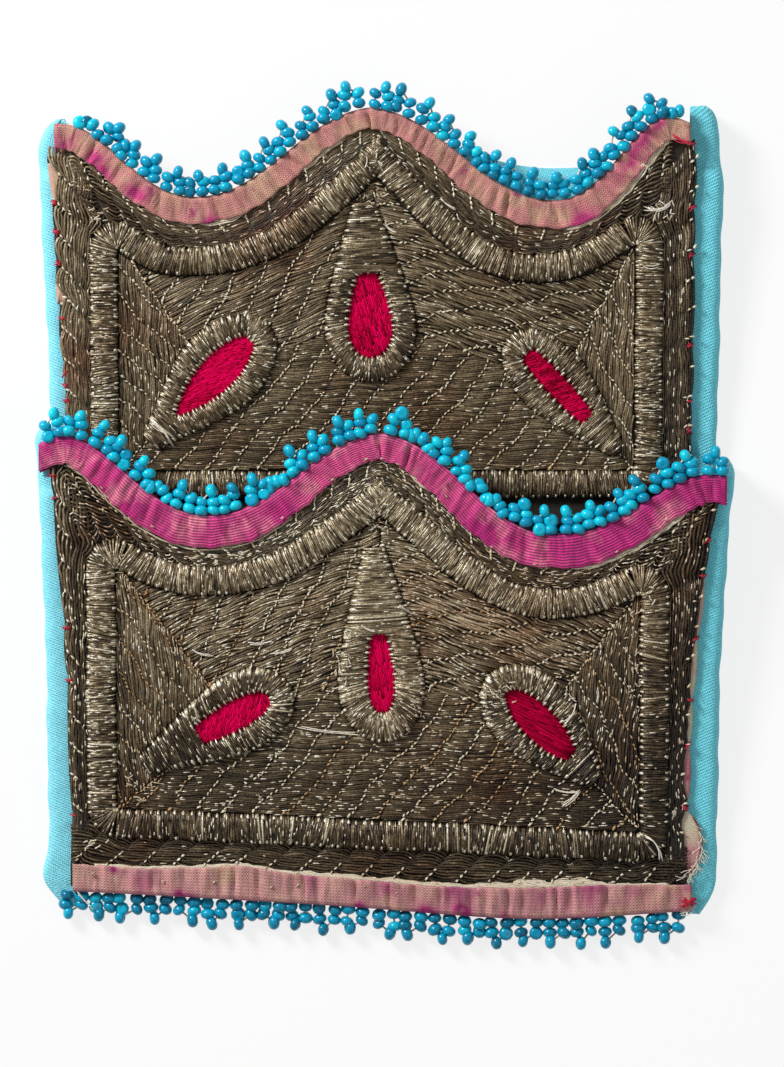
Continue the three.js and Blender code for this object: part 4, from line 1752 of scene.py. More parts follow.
    def build(self) -> list[Piece]:
        """Makes the laid field, the borders and the couching."""
        for quarter, outline in self.zones().items():
            self.lay_quarter(outline, self.tier.runs[quarter])
        self.seams()
        self.lay_borders()
        name, palette = self.tier.name, self.palette
        pieces = [
            self.threads.piece(f"{name}_laid_threads", palette.metal),
            self.border.piece(f"{name}_border_threads", palette.metal if self.tier.lower else palette.rusty),
            self.dots.piece(f"{name}_couching", palette.couching),
        ]
        return [show(piece, Slot.LAID) for piece in pieces]


@dataclass
class SatinWork:
    """Padded satin stitch on one panel: the frame of ridges, and the leaves with their bands."""

    tier: Tier
    palette: Palette
    base: float = 0.9
    ridge_height: float = 1.4
    band_height: float = 1.25
    leaf_height: float = 0.4
    pitch: float = 0.3
    stitch_width: float = 0.4
    stitch_height: float = 0.16
    tack_pitch: float = 1.45
    tack_height: float = 0.24
    pad_tone: float = 0.1
    rim_size: Pair = (0.44, 0.24)
    floss_size: Pair = (0.38, 0.13)
    floss_pitch: float = 0.3

    ACROSS = np.array([0.0, 0.05, 0.16, 0.33, 0.5, 0.67, 0.84, 0.95, 1.0])
    ARCH = np.array([0.0, 0.4, 0.76, 0.95, 1.0, 0.95, 0.76, 0.4, 0.0])
    PAD_ACROSS = np.array([0.02, 0.07, 0.18, 0.34, 0.5, 0.66, 0.82, 0.93, 0.98])
    START_ENDS = np.linspace(0.0, 0.13, 4)
    FAR_ENDS = np.linspace(0.87, 1.0, 4)
    LIT_ENDS = np.linspace(0.74, 1.01, 4)

    def __post_init__(self) -> None:
        """Sets what differs between the panels, and the seeded scatter."""
        lower = self.tier.lower
        self.rng = np.random.default_rng(self.tier.seed + 100)
        self.ridge_width = 5.0 if lower else 4.7
        self.bright_ends = 0.95 if lower else 0.8
        self.flecks = 1.0 if lower else 0.6
        self.tack_width = 0.6 if lower else 0.5

    def stitches(
        self,
        work: ThreadWork,
        starts: Array,
        ends: Array,
        height: Array,
        worn_by: float = 1.0,
        tone: float = 0.37,
    ) -> None:
        """Lays satin stitches over a pad, with pale worn flecks, and some pale from end to end.

        Args:
            work: threads to add them to.
            starts: flat start of each stitch.
            ends: flat end of each stitch.
            height: height of the pad under each stitch.
            worn_by: how many flecks there are, against the usual number.
            tone: middle tone of the thread.
        """
        rng, tier, many = self.rng, self.tier, len(starts)
        chord = ends - starts
        way = chord / np.linalg.norm(chord, axis=1, keepdims=True)
        starts = starts + way * rng.normal(0, 0.07, many)[:, None]
        ends = ends + way * rng.normal(0, 0.07, many)[:, None]
        skew = left_of(way) * rng.normal(0, 0.1, many)[:, None]
        flat = between(starts, ends, self.ACROSS) + skew[:, None] * (self.ACROSS[None, :, None] - 0.5) * 2
        rise = self.base + (height * rng.normal(1.0, 0.035, many))[:, None] * self.ARCH
        patches = 0.08 * smooth_noise(np.arange(many) * self.pitch, tier.seed + 9, (3.1, 7.7, 13.0))
        tones = tone + patches[:, None] + tier.shade(flat) + 0.07 * rng.normal(size=(many, 1))
        tones = tones + 0.14 * rng.normal(size=flat.shape[:2])
        worn = rng.random((many, 1)) < 0.3 * tier.wear
        tones = np.where(worn, rng.uniform(0.65, 0.9, (many, 1)), tones)
        lines = tier.place(flat, rise)
        work.lay(lines, tier.normal, self.stitch_width, self.stitch_height, np.clip(tones, 0.02, 1))
        picks = rng.integers(0, many, int(self.flecks * worn_by * many))
        size = rng.uniform(0.5, 1.5, len(picks)) / np.linalg.norm(chord[picks], axis=1)
        spots = rng.beta(0.8, 0.8, (len(picks), 1)) + size[:, None] * FLECK
        spots = np.clip(spots, -0.03, 1.03)
        level = self.base + 0.1 + height[picks, None] * np.interp(spots, self.ACROSS, self.ARCH)
        flat = between(starts[picks], ends[picks], spots)
        work.fleck(tier.place(flat, level), tier.normal, rng.uniform(0.68, 1.0, (len(picks), 1)))

    def tacks(
        self, work: ThreadWork, starts: Array, ends: Array, height: Array, kept: float, span: Array
    ) -> None:
        """Sets pale blobs along one edge of a row of satin stitches, where the thread turns over.

        Args:
            work: threads to add them to.
            starts: flat start of each stitch.
            ends: flat end of each stitch.
            height: height of the pad under each stitch.
            kept: share of the blobs that show.
            span: shares along a stitch that a blob covers.
        """
        # The blobs are partly worn thread that shows its pale core and partly a painted highlight on the
        # turn.
        rng = self.rng
        picks = np.arange(0, len(starts), self.tack_pitch / self.pitch)
        picks = np.clip((picks + rng.normal(0, 0.5, len(picks))).round().astype(int), 0, len(starts) - 1)
        picks = picks[rng.random(len(picks)) < kept * self.bright_ends]
        rise = self.base + 0.14 + height[picks, None] * np.interp(span, self.ACROSS, self.ARCH)
        lines = self.tier.place(between(starts[picks], ends[picks], span), rise)
        tones = rng.uniform(0.75, 1.0, (len(picks), 1))
        work.lay(lines, self.tier.normal, self.tack_width, self.tack_height, tones)

    def pad_rows(self, starts: Array, ends: Array, height: Array) -> Array:
        """Closed sections of the pad under satin stitches."""
        rise = self.base - 0.06 + height[:, None] * self.ARCH
        return self.tier.place(between(starts, ends, self.PAD_ACROSS), rise)

    def trim(self, starts: Array, ends: Array, limit: Pair) -> tuple[Array, Array, Array]:
        """Cuts stitches at an upright line.

        Args:
            starts: flat start of each stitch.
            ends: flat end of each stitch.
            limit: X of the line, and the direction along X in which stitches end there.

        Returns:
            The cut starts and ends, and which of the stitches are still there.
        """
        over_start, over_end = limit[1] * (starts[:, 0] - limit[0]), limit[1] * (ends[:, 0] - limit[0])
        apart = over_end - over_start
        share = np.clip(-over_start / np.where(np.abs(apart) < 1e-6, 1e-6, apart), 0, 1)
        crossing = starts + (ends - starts) * share[:, None]
        kept = (over_start < 0) | (over_end < 0)
        starts = np.where((over_start > 0)[:, None], crossing, starts)
        ends = np.where((over_end > 0)[:, None], crossing, ends)
        kept &= np.linalg.norm(ends - starts, axis=1) > 0.6
        return starts[kept], ends[kept], kept

    def ridge(self, name: str, path: FlatPath, limit: Pair = (1000.0, 1.0), worn_by: float = 1.0) -> None:
        """Makes one padded ridge along a path, cut at an upright line.

        Args:
            name: node that it stands for.
            path: its middle line.
            limit: X of the line, and the direction along X in which stitches end there.
            worn_by: how many flecks it has, against the usual number.
        """
        work = ThreadWork()
        rng = self.rng
        half = self.ridge_width / 2
        rows = np.linspace(0, 1, max(4, int(path.length / 1.2)))
        flat_height = np.full(len(rows), self.ridge_height)
        flat_height[[0, -1]] *= 0.75
        sides = [path.beside(rows, out) for out in (half, -half)]
        for line in sides:
            line[:, 0] = limit[1] * np.minimum(limit[1] * line[:, 0], limit[1] * limit[0] + 0.05)
        work.pad(self.pad_rows(sides[0], sides[1], flat_height), False, self.pad_tone)
        many = int(path.length / self.pitch)
        share = (np.arange(many) + 0.5) / many + rng.normal(0, 0.05 / path.length, many)
        lean = 0.5 * smooth_noise(share * path.length, self.tier.seed, (17.0, 31.0)) / path.length
        swell = 1 + 0.05 * smooth_noise(share * path.length, self.tier.seed + 1, (5.0, 13.0))
        starts = path.beside(share - lean, half * swell)
        ends = path.beside(share + lean, -half * swell)
        starts, ends, kept = self.trim(starts, ends, limit)
        height = self.ridge_height * swell[kept]
        self.stitches(work, starts, ends, height, worn_by)
        self.tacks(work, starts, ends, height, 0.95, self.START_ENDS)
        self.tacks(work, starts, ends, height, 0.75, self.FAR_ENDS)
        piece = work.piece(f"{name}_stitches", self.palette.satin)
        show(piece, Slot.SATIN, name)

    def ridges(self) -> None:
        """Makes the five ridges of the frame."""
        tier = self.tier
        half = self.ridge_width / 2
        crest = tier.crest.path()
        top = crest.points
        peak_x, peak_y = tier.crest.peak
        reach = half + 0.4
        over = peak_y + reach * tier.crest.peak_slope
        rises, starts = [], []
        for side in Side:
            x = tier.ridge_sides[side.value]
            inner = x - side.sign * half
            slope = float(crest.height(inner + 1) - crest.height(inner - 1)) / 2
            high = float(crest.height(inner)) - half * math.hypot(1, slope)
            low = float(tier.rail_at(x)) + half
            spots = np.linspace(low, high, 24)[1:-1]
            wobble = 0.12 * smooth_noise(spots, tier.seed + side.value, (19.0, 34.0))
            foot = np.radians(np.linspace(-88, 0, 9))
            head = np.radians(np.linspace(0, 90 + math.degrees(math.atan(side.sign * slope)), 11))
            bends = [(inner + side.sign * half * np.cos(turn), half * np.sin(turn)) for turn in (foot, head)]
            parts = [
                np.stack([bends[0][0], low + bends[0][1]], axis=1),
                np.stack([x + wobble, spots], axis=1),
                np.stack([bends[1][0], high + bends[1][1]], axis=1),
            ]
            rises.append(FlatPath(np.concatenate(parts)))
            starts.append(float(bends[1][0][-1]))
        rising = top[(top[:, 0] > starts[0]) & (top[:, 0] < peak_x)]
        falling = top[(top[:, 0] > peak_x) & (top[:, 0] < starts[1])]
        left = np.concatenate([rising, [(peak_x + reach, over)]])
        right = np.concatenate([[(peak_x - reach, over)], falling])
        self.ridge(f"{tier.name}_ridge_top_left", FlatPath(left), (peak_x + 0.9, 1.0))
        self.ridge(f"{tier.name}_ridge_top_right", FlatPath(right), (peak_x - 0.9, -1.0))
        for side, path in zip(Side, rises):
            self.ridge(f"{tier.name}_ridge_{side.word}", path, worn_by=tier.side_wear[side.value])
        xs = np.linspace(tier.ridge_sides[0] + half, tier.ridge_sides[1] - half, 40)
        wobble = 0.15 * smooth_noise(xs, tier.seed + 5, (23.0, 41.0))
        rail = FlatPath(np.stack([xs, tier.rail_at(xs) + wobble], axis=1))
        self.ridge(f"{tier.name}_ridge_bottom", rail, worn_by=0.6)

    def band(self, drop: Drop) -> None:
        """Makes the satin band round one leaf: stitches out from the leaf, and across its stem.

        Args:
            drop: the leaf.
        """
        work = ThreadWork()
        angles = np.linspace(0, 2 * np.pi, 60, endpoint=False)
        inner, outer = drop.settle(drop.leaf_edge(angles)), drop.settle(drop.band_edge(angles))
        pad = self.band_height * np.interp(np.cos(angles), [0.0, 0.35], [1.0, 0.4])
        work.pad(self.pad_rows(outer, inner, pad), True, self.pad_tone)
        tip = drop.length / 2
        turn = np.linspace(0.04, 2 * np.pi - 0.04, 400)
        level = np.cos(turn) * (tip + 0.8) / (drop.stem_cut * (tip + drop.stem))
        fan = np.where(np.cos(turn) > 0, np.arccos(level), np.pi - np.abs(np.pi - turn))
        fan = np.where(turn > np.pi, 2 * np.pi - fan, fan)
        outline = FlatPath(drop.band_edge(fan))
        many = int(outline.length / self.pitch)
        places = np.interp(np.linspace(0, outline.length, many), outline.run, np.arange(len(turn)))
        turn, fan = (np.interp(places, np.arange(len(turn)), line) for line in (turn, fan))
        starts, ends = drop.settle(drop.leaf_edge(turn) * 0.97), drop.settle(drop.band_edge(fan))
        height = np.full(many, self.band_height)
        self.stitches(work, starts, ends, height, tone=drop.satin)
        self.tacks(work, starts, ends, height, 0.85, self.FAR_ENDS)
        # Extra pale blobs on the ends that face the upper left, where the key lamp stands, are painted
        # highlights.
        lit = (ends - starts) @ np.array([-0.7, 0.7]) > 1.6
        for _ in range(2 if self.tier.lower else 1):
            self.tacks(work, starts[lit], ends[lit], height[lit], 0.9, self.LIT_ENDS)
        half_turn = np.linspace(0, np.pi / 2, 80)
        side = drop.band_edge(half_turn)
        along = np.arange(tip + 0.1, tip + drop.stem - 0.2, self.pitch)
        half = np.interp(along, side[::-1, 0], side[::-1, 1])
        starts = drop.settle(np.stack([along, half], axis=1))
        ends = drop.settle(np.stack([along, -half], axis=1))
        height = self.band_height * np.clip(half / 1.8, 0.45, 1.0) + 0.12
        self.stitches(work, starts, ends, height, tone=drop.satin)
        for span in (self.START_ENDS, self.FAR_ENDS):
            self.tacks(work, starts, ends, height, 0.9, span)
        self.rim(work, drop)
        node = f"{self.tier.name}_satin_band_{drop.name}"
        show(work.piece(f"{node}_stitches", self.palette.satin), Slot.SATIN, node)

    def rim(self, work: ThreadWork, drop: Drop) -> None:
        """Sets pale spikes round a leaf, where the band's stitches reach over its edge.

        Args:
            work: threads to add them to.
            drop: the leaf.
        """
        edge = FlatPath(drop.leaf_edge(np.linspace(0, 2 * np.pi, 240)))
        share = np.arange(0, 1, drop.rim_pitch / edge.length)
        share = share + self.rng.normal(0, 0.14 * drop.rim_pitch / edge.length, len(share))
        outs = np.array([-0.5, -0.2, 0.1, 0.42])
        rises = self.base + np.array([1.12, 0.95, 0.66, 0.42])
        flat = np.stack([drop.settle(edge.beside(share, np.full_like(share, out))) for out in outs], axis=1)
        tones = np.clip(self.rng.normal(0.82, 0.12, (len(share), 1)), 0, 1)
        work.lay(self.tier.place(flat, rises), self.tier.normal, *self.rim_size, tones, taper=0.4)

    def leaf(self, drop: Drop) -> None:
        """Makes one silk leaf: a low dome covered with short strokes of floss.

        Args:
            drop: the leaf.
        """
        work, rng, grain = ThreadWork(), self.rng, 0.15
        angles = np.linspace(0, 2 * np.pi, 48, endpoint=False)
        edge = drop.leaf_edge(angles)
        shares = np.array([1.0, 0.96, 0.7, 0.35])
        domes = np.array([0.0, 0.4, 0.85, 1.0]) * self.leaf_height
        rows = np.stack([edge * share for share in shares])
        sections = np.stack([self.tier.place(drop.settle(r), self.base + d) for r, d in zip(rows, domes)])
        work.pad(sections[::-1][:, ::-1], False, drop.tone - 0.1)
        side = drop.leaf_edge(np.linspace(0, np.pi, 120))[::-1]
        spread_tone = 0.17 if drop.stroke < 6 else 0.05
        way = heading(math.radians(drop.floss_turn))
        off = left_of(way)
        spread = np.abs(edge @ off).max()
        reach = np.abs(edge @ way).max()
        along = np.arange(-reach, reach, grain)
        rim = drop.leaf_edge(np.linspace(0, 2 * np.pi, 160))
        for offset in np.arange(-spread, spread, self.floss_pitch):
            points = along[:, None] * way + (offset + rng.normal(0, 0.03)) * off
            kept = points[inside(points, rim * 0.99)]
            start = -int(rng.integers(0, 6))
            while start < len(kept) - 4:
                end = start + int(drop.stroke * rng.uniform(0.6, 1.5) / grain)
                part = kept[max(start, 0):end]
                start = end - 2
                if len(part) < 5:
                    continue
                flat = part[np.linspace(0, len(part) - 1, 5).round().astype(int)]
                flat = flat + off * rng.normal(0, 0.08) * np.linspace(-1, 1, 5)[:, None]
                half = np.maximum(np.interp(flat[:, 0], side[:, 0], side[:, 1]), 0.3)
                share = np.clip(np.abs(flat[:, 1]) / half, 0, 1)
                rise = self.base + self.leaf_height * np.sqrt(1 - 0.9 * share**2) + 0.02
                tones = np.clip(drop.tone + spread_tone * rng.normal() + 0.05 * rng.normal(size=5), 0, 1)
                line = self.tier.place(drop.settle(flat), rise)
                work.lay(line, self.tier.normal, *self.floss_size, tones)
        node = f"{self.tier.name}_silk_leaf_{drop.name}"
        show(work.piece(f"{node}_floss", self.palette.floss), Slot.LEAF, node)

    def build(self) -> None:
        """Makes the frame, the bands and the leaves."""
        self.ridges()
        for drop in self.tier.drops:
            self.band(drop)
            self.leaf(drop)


@dataclass
class Gathers:
    """Small folds across a ribbon: waves along it, with a few deeper creases."""

    seed: int
    height: float = 0.36
    crease: float = 0.8
    spacing: float = 4.4

    def lift(self, run: Array) -> Array:
        """Height of the folds.

        Args:
            run: places along the ribbon, in millimetres.

        Returns:
            Height at each place.
        """
        waves = self.height * smooth_noise(run, self.seed, (2.1, 3.4, 5.6))
        rng = np.random.default_rng(self.seed + 7)
        spots = np.arange(2.0, run.max(), self.spacing)
        for spot in spots + rng.uniform(-2.4, 2.4, len(spots)):
            waves -= self.crease * rng.uniform(0.2, 1.0) * np.exp(-(((run - spot) / 0.34) ** 2))
        return waves


def kept_dye(x: Array, over: Array, wide: float, spots: Spots) -> Array:
    """How much of its dye a ribbon kept.

    Args:
        x: places along the ribbon.
        over: shares across it, 0 at its fold.
        wide: width of the ribbon.
        spots: dyed spots by their X, their share across the ribbon and their size.

    Returns:
        The kept dye at each place and share.
    """
    kept = np.zeros((len(x), len(over)))
    for at, share, size in spots:
        apart = (x[:, None] - at) ** 2 + (wide * (over[None] - share)) ** 2
        kept = kept + np.exp(-apart / size**2)
    return kept


def ribbon_sheet(
    name: str, grid: Array, widest: int, run: Array, fade: Array, silk: Material
) -> tuple[Piece, float]:
    """Makes a silk ribbon from the grid of its middle surface.

    Args:
        name: name of the piece.
        grid: rows of points across the ribbon, in millimetres.
        widest: the row that gives its flat width.
        run: place of each row along the ribbon.
        fade: how faded it is at each point.
        silk: its finish.

    Returns:
        The ribbon, and its flat width in metres.
    """
    across = running(grid[widest])
    lay = np.stack(np.broadcast_arrays(run[:, None], across[None], fade), axis=-1)
    return cloth_sheet(name, grid, lay, GAUGE.silk, silk), float(across[-1]) * MM


@dataclass
class MouthBinding:
    """Silk ribbon folded over the scalloped mouth of one pocket."""

    tier: Tier
    palette: Palette
    step: float = 0.42
    fold_round: float = 0.7
    legs: int = 11
    slant: float = 0.25
    ragged: float = 0.3
    end_ease: float = 4.0

    def build(self) -> Piece:
        """Makes the ribbon, its gathers following the edge."""
        tier = self.tier
        edge = tier.edge.path().stretch(*tier.ribbon_ends)
        many = int(edge.length / self.step)
        share = np.linspace(0, 1, many)
        run = share * edge.length
        width = tier.ribbon_at(share) + self.ragged * smooth_noise(run, tier.seed + 41, (2.6, 5.1, 9.7))
        front = GAUGE.ground + GAUGE.seat + GAUGE.ribbon / 2 + 0.05
        back = -GAUGE.seat - GAUGE.ribbon / 2
        leg_shares = np.linspace(1.0, 0.0, self.legs)
        folds = [(-self.fold_round - (width - self.fold_round) * s, front) for s in leg_shares]
        turns = [(-0.3, front - 0.16), (-0.2, front - 0.5), (-0.17, GAUGE.ground / 2), (-0.2, back + 0.5)]
        turns += [(-0.3, back + 0.16), (-self.fold_round, back), (-2.8, back), (-5.2, back)]
        folds += [(np.full(many, out), rise) for out, rise in turns]
        gathers = Gathers(tier.seed + 40)
        near = np.clip(np.minimum(share, 1 - share) * edge.length / self.end_ease, 0, 1)[:, None]
        columns = []
        for index, (out, rise) in enumerate(folds):
            hold = 0.4 + 0.6 * math.sin(math.pi * index / self.legs) if index < self.legs else 0.15
            upright = edge.at(share) + np.stack([np.zeros(many), out], axis=1)
            flat = upright * (1 - near) + edge.beside(share, out) * near
            columns.append(tier.place(flat, rise + hold * gathers.lift(run + self.slant * out)))
        over = np.concatenate([leg_shares, np.zeros(len(turns))])
        kept = kept_dye(edge.at(share)[:, 0], over, float(width.mean()), tier.dyed_spots)
        fade = self.fade(share)[:, None] - kept
        silk = self.palette.bright if tier.lower else self.palette.faded
        name, grid, widest = f"{tier.name}_silk_binding", np.stack(columns, axis=1), int(np.argmax(width))
        ribbon, wide = ribbon_sheet(name, grid, widest, run, fade, silk)
        show(ribbon, Slot.BRIGHT if tier.lower else Slot.FADED, f"{tier.name}_edge_binding")
        return ribbon

    def fade(self, share: Array) -> Array:
        """How faded the ribbon is along its length, 0 for its full dye.

        Args:
            share: shares of the length.

        Returns:
            Fading at each.
        """
        if self.tier.lower:
            shares = [0, 0.06, 0.14, 0.28, 0.36, 0.45, 0.6, 0.74, 0.82, 1]
            return np.interp(share, shares, [0.1, 0.5, 0.42, 0.5, 0.7, 0.78, 0.72, 0.45, 0.1, -0.25])
        return np.interp(share, [0, 0.02, 0.05, 0.3, 0.7, 0.85, 1], [0.0, 0.1, 0.95, 1.0, 0.95, 0.85, 0.8])


@dataclass
class HemBinding:
    """Silk ribbon folded over the bottom edge of the pouch."""

    palette: Palette
    width: float = 5.6
    step: float = 0.45
    fold_round: float = 0.7
    legs: int = 10
    ragged: float = 0.15
    dyed_spots: Spots = (
        (-42.0, 0.5, 2.6), (-34.0, 0.05, 1.2), (-14.0, 0.95, 2.4), (1.0, 0.95, 2.6), (12.5, 0.95, 3.2),
        (8.7, 0.1, 1.2), (13.0, 0.1, 1.4), (28.0, 0.95, 2.6), (36.0, 0.9, 2.4), (45.0, 0.95, 2.4),
        (53.0, 0.8, 2.4),
    )
    edge_spots: Spots = (
        (-36.2, 0.1, 1.0), (-4.5, 0.08, 0.9), (7.0, 0.08, 1.1), (13.6, 0.14, 1.3), (21.0, 0.05, 1.0),
        (-47.6, 0.9, 0.8),
    )

    def build(self) -> Piece:
        """Makes the ribbon."""
        many = int(HEM.length / self.step)
        share = np.linspace(0, 1, many)
        run = share * HEM.length
        fold = HEM.at(share)
        fold[:, 0] += 1.6 * share_of(share, 0.9, 0.1) - 1.2 * np.clip((0.1 - share) / 0.1, 0, 1)
        x, y = fold.T
        half = GAUGE.ribbon / 2
        gathers = Gathers(77, 0.55, 0.75, 4.8).lift(run)
        ragged = hem_width(x) - self.width + self.ragged * smooth_noise(run, 78, (2.3, 4.1, 6.7))

        def face(out: float) -> Array:
            """Height of the ribbon's front leg over the lower panel."""
            rise = GAUGE.ground / math.cos(math.radians(LOWER.tilt))
            return LOWER.under(y + out) + rise + GAUGE.seat + half

        outs = np.linspace(self.width, self.fold_round, self.legs)
        columns = []
        for index, out in enumerate(outs):
            hold = 0.3 + 0.7 * math.sin(math.pi * (index + 1) / self.legs)
            slack = ragged * (1 - index / self.legs)
            columns.append((y + out + slack, face(out) + gathers * hold))
        top = face(0.0)
        columns.append((y + half + 0.06, top - 0.3 + 0.4 * gathers))
        columns.append((y + half, 0.5 * top))
        columns.append((y + half + 0.06, np.full(many, half + 0.32)))
        columns += [(y + out, np.full(many, half)) for out in (self.fold_round, 2.6, self.width)]
        grid = np.stack([np.stack([x, *column], axis=1) for column in columns], axis=1)
        over = np.concatenate([outs / self.width, np.zeros(len(columns) - self.legs)])
        kept = 0.5 * kept_dye(x, over, self.width, self.dyed_spots)
        # The fold along the lower edge is kept darker all along: partly a darker dye line, partly painted
        # shade at the fold.
        kept = kept + kept_dye(x, over, self.width, self.edge_spots) + 0.4 * (over < 0.1)
        fade = np.interp(share, [0, 0.1, 0.3, 0.45, 0.55, 0.7, 1], [0.95, 1.0, 1.0, 0.96, 0.86, 0.9, 0.8])
        fade = fade[:, None] - kept
        ribbon, wide = ribbon_sheet("bottom_silk_binding", grid, many // 2, run, fade, self.palette.hem)
        show(ribbon, Slot.FADED, "bottom_edge_binding")
        return ribbon


@dataclass
class Gusset:
    """Folded cotton side of one pocket."""

    tier: Tier
    side: Side
    palette: Palette
    cover: float = 7.5
    back_half: float = 55.5
    corner_half: float = 53.2
    corner_depth: float = 8.0
    binding_reach: float = 9.6
    overrun: float = 1.6
    fold: float = 1.4
    step: float = 0.7
    ease: float = 1.2
    neck_start: float = 57.0
    neck_length: float = 11.0
    tab_start: float = 4.5
    tab_length: float = 3.0
    tab_round: float = 3.4
    shoulder: float = 5.8
    foot_rounds: Pair = (5.6, 7.0)
    foot_cut: float = 3.0
    bulge: float = 0.9
    foot_drop: float = 2.2

    def __post_init__(self) -> None:
        """Sets the heights that the cloth runs between."""
        tier, side = self.tier, self.side
        self.top = tier.gusset_top[side.value]
        self.mouth = tier.foot_y + tier.edge.ends[side.value][1]
        self.upper_end = UPPER.foot_y - self.overrun
        hem_end = HEM.points[0 if side is Side.LEFT else -1, 1]
        drop = self.foot_drop if side is Side.LEFT else 0.0
        self.foot = hem_end - GAUGE.ribbon - drop if tier.lower else self.upper_end
        self.seed = tier.seed + 60 + side.value

    def cut(self, y: Array) -> tuple[Array, Array, Array]:
        """Cut of the cloth, as distances from the pouch's middle.

        Args:
            y: heights up the side.

        Returns:
            Edge of the back leg, outer fold and edge of the front leg at each height.
        """
        tier, side = self.tier, self.side
        half = GAUGE.cotton / 2
        wave = smooth_noise(y, self.seed, (7.0, 13.0, 29.0))
        neck = tier.gusset_neck[side.value] * share_of(y, self.neck_start, self.neck_length)
        outer = np.abs(tier.gusset_fold(side, y)) - half + 0.22 * wave - neck
        tab_round = self.shoulder if side is Side.LEFT and not tier.lower else self.tab_round
        rounding = share_of(y, self.top - tab_round, tab_round)
        outer = outer - tab_round * 0.75 * (1 - np.sqrt(1 - rounding**2 * 0.94))
        back = np.full_like(y, self.back_half + GAUGE.seat)
        front = outer + half - self.cover
        shown = share_of(y, self.mouth - self.tab_start, self.tab_length)
        front = front + (tier.tab_inner[side.value] - front) * shown
        if tier.lower:
            beside = share_of(y, self.upper_end - GAUGE.seat - self.ease, self.ease)
            clear = np.abs(UPPER.gusset_fold(side, y)) + GAUGE.seat + 0.4
            back = back + (clear - back) * beside
            foot_round = self.foot_rounds[side.value]
            corner = np.clip((self.foot + foot_round - y) / foot_round, 0, 1)
            outer = outer - self.foot_cut * corner**1.9
            if side is Side.LEFT:
                outer = outer + self.bulge * np.exp(-(((y - self.foot - foot_round) / 4.0) ** 2))
            slim = np.clip((self.foot + self.corner_depth + self.ease - y) / self.ease, 0, 1)
            front = front + (self.corner_half - front) * slim
        return np.minimum(back, outer - 0.8), outer, np.minimum(front, outer - 1.2)

    def build(self) -> Piece:
        """Makes the cloth from its sections up the side."""
        tier, side = self.tier, self.side
        half = GAUGE.cotton / 2
        y = np.linspace(self.foot, self.top, int((self.top - self.foot) / self.step))
        back, outer, front = self.cut(y)
        tuck = share_of(y, self.mouth - self.binding_reach, self.ease) * (GAUGE.ribbon + GAUGE.seat)
        high = tier.under(y) - GAUGE.seat - half - tuck
        round_by = np.minimum(self.fold, (high - half) / 2)
        pucker = 0.14 * smooth_noise(y, self.seed + 3, (3.3, 5.9, 8.1))
        bend = outer - round_by
        sections = [(back + (bend - back) * s, np.full_like(y, half)) for s in (0.0, 0.5, 1.0)]
        for angle in np.radians([-60, -30, 0]):
            sections.append((outer - round_by * (1 - np.cos(angle)), half + round_by * (1 + np.sin(angle))))
        for angle in np.radians([0, 30, 60, 90]):
            sections.append((outer - round_by * (1 - np.cos(angle)), high - round_by * (1 - np.sin(angle))))
        for s in np.linspace(0.15, 1.0, 7):
            sections.append((bend + (front - bend) * s, high + pucker * math.sin(math.pi * s) * 0.7))
        grid = np.stack([np.stack([side.sign * x, y, z], axis=1) for x, z in sections], axis=1)
        across = np.zeros(grid.shape[:2])
        across[:, 1:] = np.cumsum(np.linalg.norm(np.diff(grid, axis=1), axis=2), axis=1)
        lay = np.stack(np.broadcast_arrays(y[:, None], across, np.zeros((1, 1))), axis=-1)
        name = f"{tier.name}_gusset_{side.word}"
        cloth = cloth_sheet(f"{name}_cloth", grid, lay, GAUGE.cotton, self.palette.cotton)
        show(cloth, Slot.COTTON, name)
        return cloth


@dataclass
class Back:
    """Plain cotton back that the pouch lies on."""

    palette: Palette
    half: float = 55.5
    hem_width: float = 5.6
    columns: int = 60
    rows: int = 60
    edge: Scallop = Scallop(
        ((-55.5, 64.6), (55.5, 66.0)), ((-33.0, 54.2), (29.6, 60.8)), (-2.4, 68.6), 0.3, 0.1
    )

    def build(self) -> Piece:
        """Makes the sheet between the bottom binding and the scalloped top."""
        top = self.edge.path()
        x = np.linspace(-self.half, self.half, self.columns)[None, :]
        f = np.linspace(0, 1, self.rows)[:, None]
        low = HEM.height(x) + self.hem_width + GAUGE.seat
        y = low + (top.height(x) - low) * f
        x = np.repeat(x, self.rows, axis=0)
        grid = np.stack([x, y, np.full_like(y, GAUGE.cotton / 2)], axis=-1)
        lay = np.stack([y, x, np.zeros_like(x)], axis=-1)
        cloth = cloth_sheet("cotton_back", grid, lay, GAUGE.cotton, self.palette.cotton)
        show(cloth, Slot.COTTON, "back_cloth")
        area = float(np.mean(top.height(x[0]) - low[0]) * 2 * self.half) * MM * MM
        return cloth


